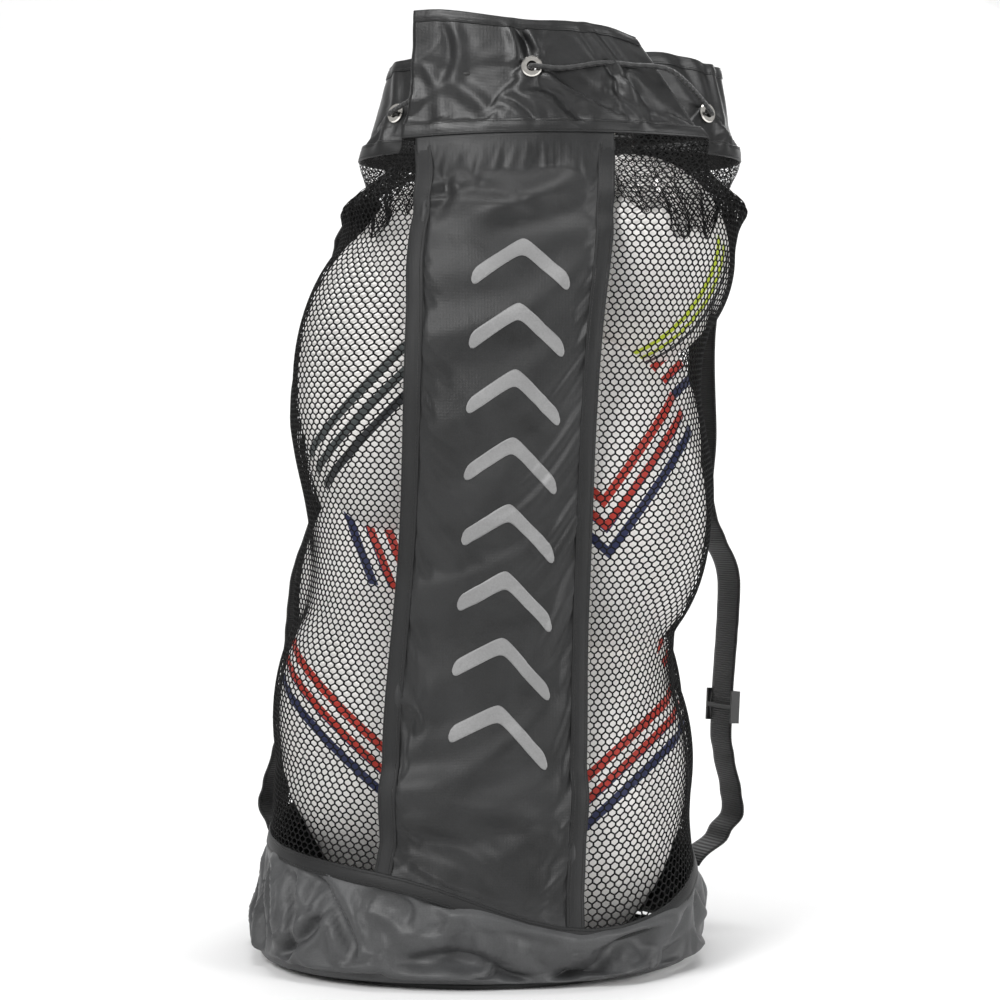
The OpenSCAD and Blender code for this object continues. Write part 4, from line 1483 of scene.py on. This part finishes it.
def build_balls():
    """The load that fills the bag. It is part of the picture and not of the object."""
    looks = {
        "a": ball_skin("ball_grey", INK, SLATE, "diagonal"),
        "c": ball_skin("ball_lime", INK, LIME, "chevron"),
        "b": ball_skin("ball_red", NAVY, RED, "chevron"),
    }
    for name, (centre, tilt_y, tilt_x) in BALLS.items():
        mesh = bpy.data.meshes.new(name)
        shape = bmesh.new()
        bmesh.ops.create_uvsphere(shape, u_segments=64, v_segments=40, radius=1.0)
        for vertex in shape.verts:
            point = vertex.co
            waist = 1.0 - 0.05 * abs(point.z) ** 2.0
            point.x *= BALL_R * waist
            point.y *= BALL_R * waist
            point.z *= BALL_HALF
        shape.to_mesh(mesh)
        shape.free()
        mesh.polygons.foreach_set("use_smooth", [True] * len(mesh.polygons))
        obj = bpy.data.objects.new(name, mesh)
        bpy.context.collection.objects.link(obj)
        obj.matrix_world = ball_matrix(centre, tilt_y, tilt_x)
        key = name[-1] if name[-1] in looks else "b"
        obj.data.materials.append(looks[key])


def build_stage():
    s = Shader("floor_paint")
    s.set(Base_Color=s.blend(s.noise(3.0), grey(0.84), grey(0.86)), Roughness=0.8)
    # Clear from behind, so that the bag can be looked at from every side
    behind = s.add("ShaderNodeNewGeometry").outputs["Backfacing"]
    s.set(Alpha=s.math("SUBTRACT", 1.0, behind))
    profile = [(d, 0.0) for d in np.linspace(-3.0, 1.0, 41)]
    profile += [(1.0 + 1.2 * math.sin(t), 1.2 - 1.2 * math.cos(t)) for t in np.linspace(0.1, 1.5, 16)]
    profile.append((2.22, 5.0))
    verts = [(x, y, z) for x in (-5.0, 5.0) for y, z in profile]
    n = len(profile)
    floor = new_object("floor", verts, [(i, n + i, n + i + 1, i + 1) for i in range(n - 1)])
    floor.data.materials.append(s.material)


# Each lamp: place, where it points, its width and height, and its power in watts
LAMPS = {
    "key": ((-1.5, -2.0, 2.0), (0, 0, 0.4), (1.0, 1.4), 66),
    "fill": ((2.1, -1.7, 1.0), (0, 0, 0.4), (0.9, 1.8), 38),
    "top": ((0.1, 0.2, 2.4), (0, 0, 0.3), (1.4, 1.4), 26),
    "back": ((0.6, 2.0, 1.8), (0, 0, 0.5), (1.6, 1.6), 22),
}
WORLD_LIGHT = 0.42


def build_light():
    for name, (place, aim, size, power) in LAMPS.items():
        data = bpy.data.lights.new(name, "AREA")
        data.shape = "RECTANGLE"
        data.size, data.size_y = size
        data.energy = power
        lamp = bpy.data.objects.new(name, data)
        bpy.context.collection.objects.link(lamp)
        lamp.location = place
        lamp.rotation_euler = (Vector(aim) - Vector(place)).to_track_quat("-Z", "Y").to_euler()
    world = bpy.data.worlds.new("studio")
    world.use_nodes = True
    world.node_tree.nodes["Background"].inputs["Color"].default_value = (1, 1, 1, 1)
    world.node_tree.nodes["Background"].inputs["Strength"].default_value = WORLD_LIGHT
    bpy.context.scene.world = world
    bpy.context.scene.view_settings.view_transform = "Standard"


CAMERA_FAR = 2.0
CAMERA_WIDE = 0.90
CAMERA_PLACE = (0.021, -CAMERA_FAR, 0.40)


def build_camera():
    data = bpy.data.cameras.new("camera")
    data.sensor_width = 36
    data.lens = 36 * CAMERA_FAR / CAMERA_WIDE
    camera = bpy.data.objects.new("camera", data)
    bpy.context.collection.objects.link(camera)
    camera.location = CAMERA_PLACE
    camera.rotation_euler = (math.radians(90), 0, 0)
    bpy.context.scene.camera = camera


# --- build everything

build_balls()
build_stage()
build_light()
build_camera()
for net_side in ("right", "left"):
    build_net(net_side)
build_base()
front_surface, front_pieces = build_panel(
    "front", 72, 250, FRONT_FOLDS, 11, "front_panel", "binding_front_left", "binding_front_right")
for piece in front_pieces:
    bend_with_flap(piece)
build_motif(front_surface)
_, back_pieces = build_panel(
    "back", 48, 180, random_folds(7, 12, 170, 140, 660, 3.0), 31,
    "back_panel", "binding_back_right", "binding_back_left")
for piece in back_pieces:
    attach(piece, "bag")
flap_surface = build_flap()
lobe_surface = build_lobe()
build_pleats(flap_surface, lobe_surface)
build_cord(flap_surface, lobe_surface)
build_spring()
for strap_side in ("left", "right"):
    build_strap(strap_side)
build_tabs()

# Hard parts keep their CAD shape and get a material, and the plastic parts and the board also get
# slightly worn edges
CAD_LOOKS = {
    "base_board": "board",
    "flap_eyelet_barrel": "nickel", "flap_eyelet_washer": "nickel",
    "lobe_eyelet_barrels": "nickel", "lobe_eyelet_washers": "nickel",
    "cord_lock_barrel": "plastic", "cord_lock_button": "plastic",
    "strap_left_slider": "plastic", "strap_right_slider": "plastic",
}
EDGE_WEAR = 0.5 * MM
for node_name, look in CAD_LOOKS.items():
    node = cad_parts[node_name]
    node.data.materials.clear()
    node.data.materials.append(LOOK[look])
    if look in ("plastic", "board"):
        bevel = node.modifiers.new("worn_edges", "BEVEL")
        bevel.width = EDGE_WEAR
        bevel.segments = 2
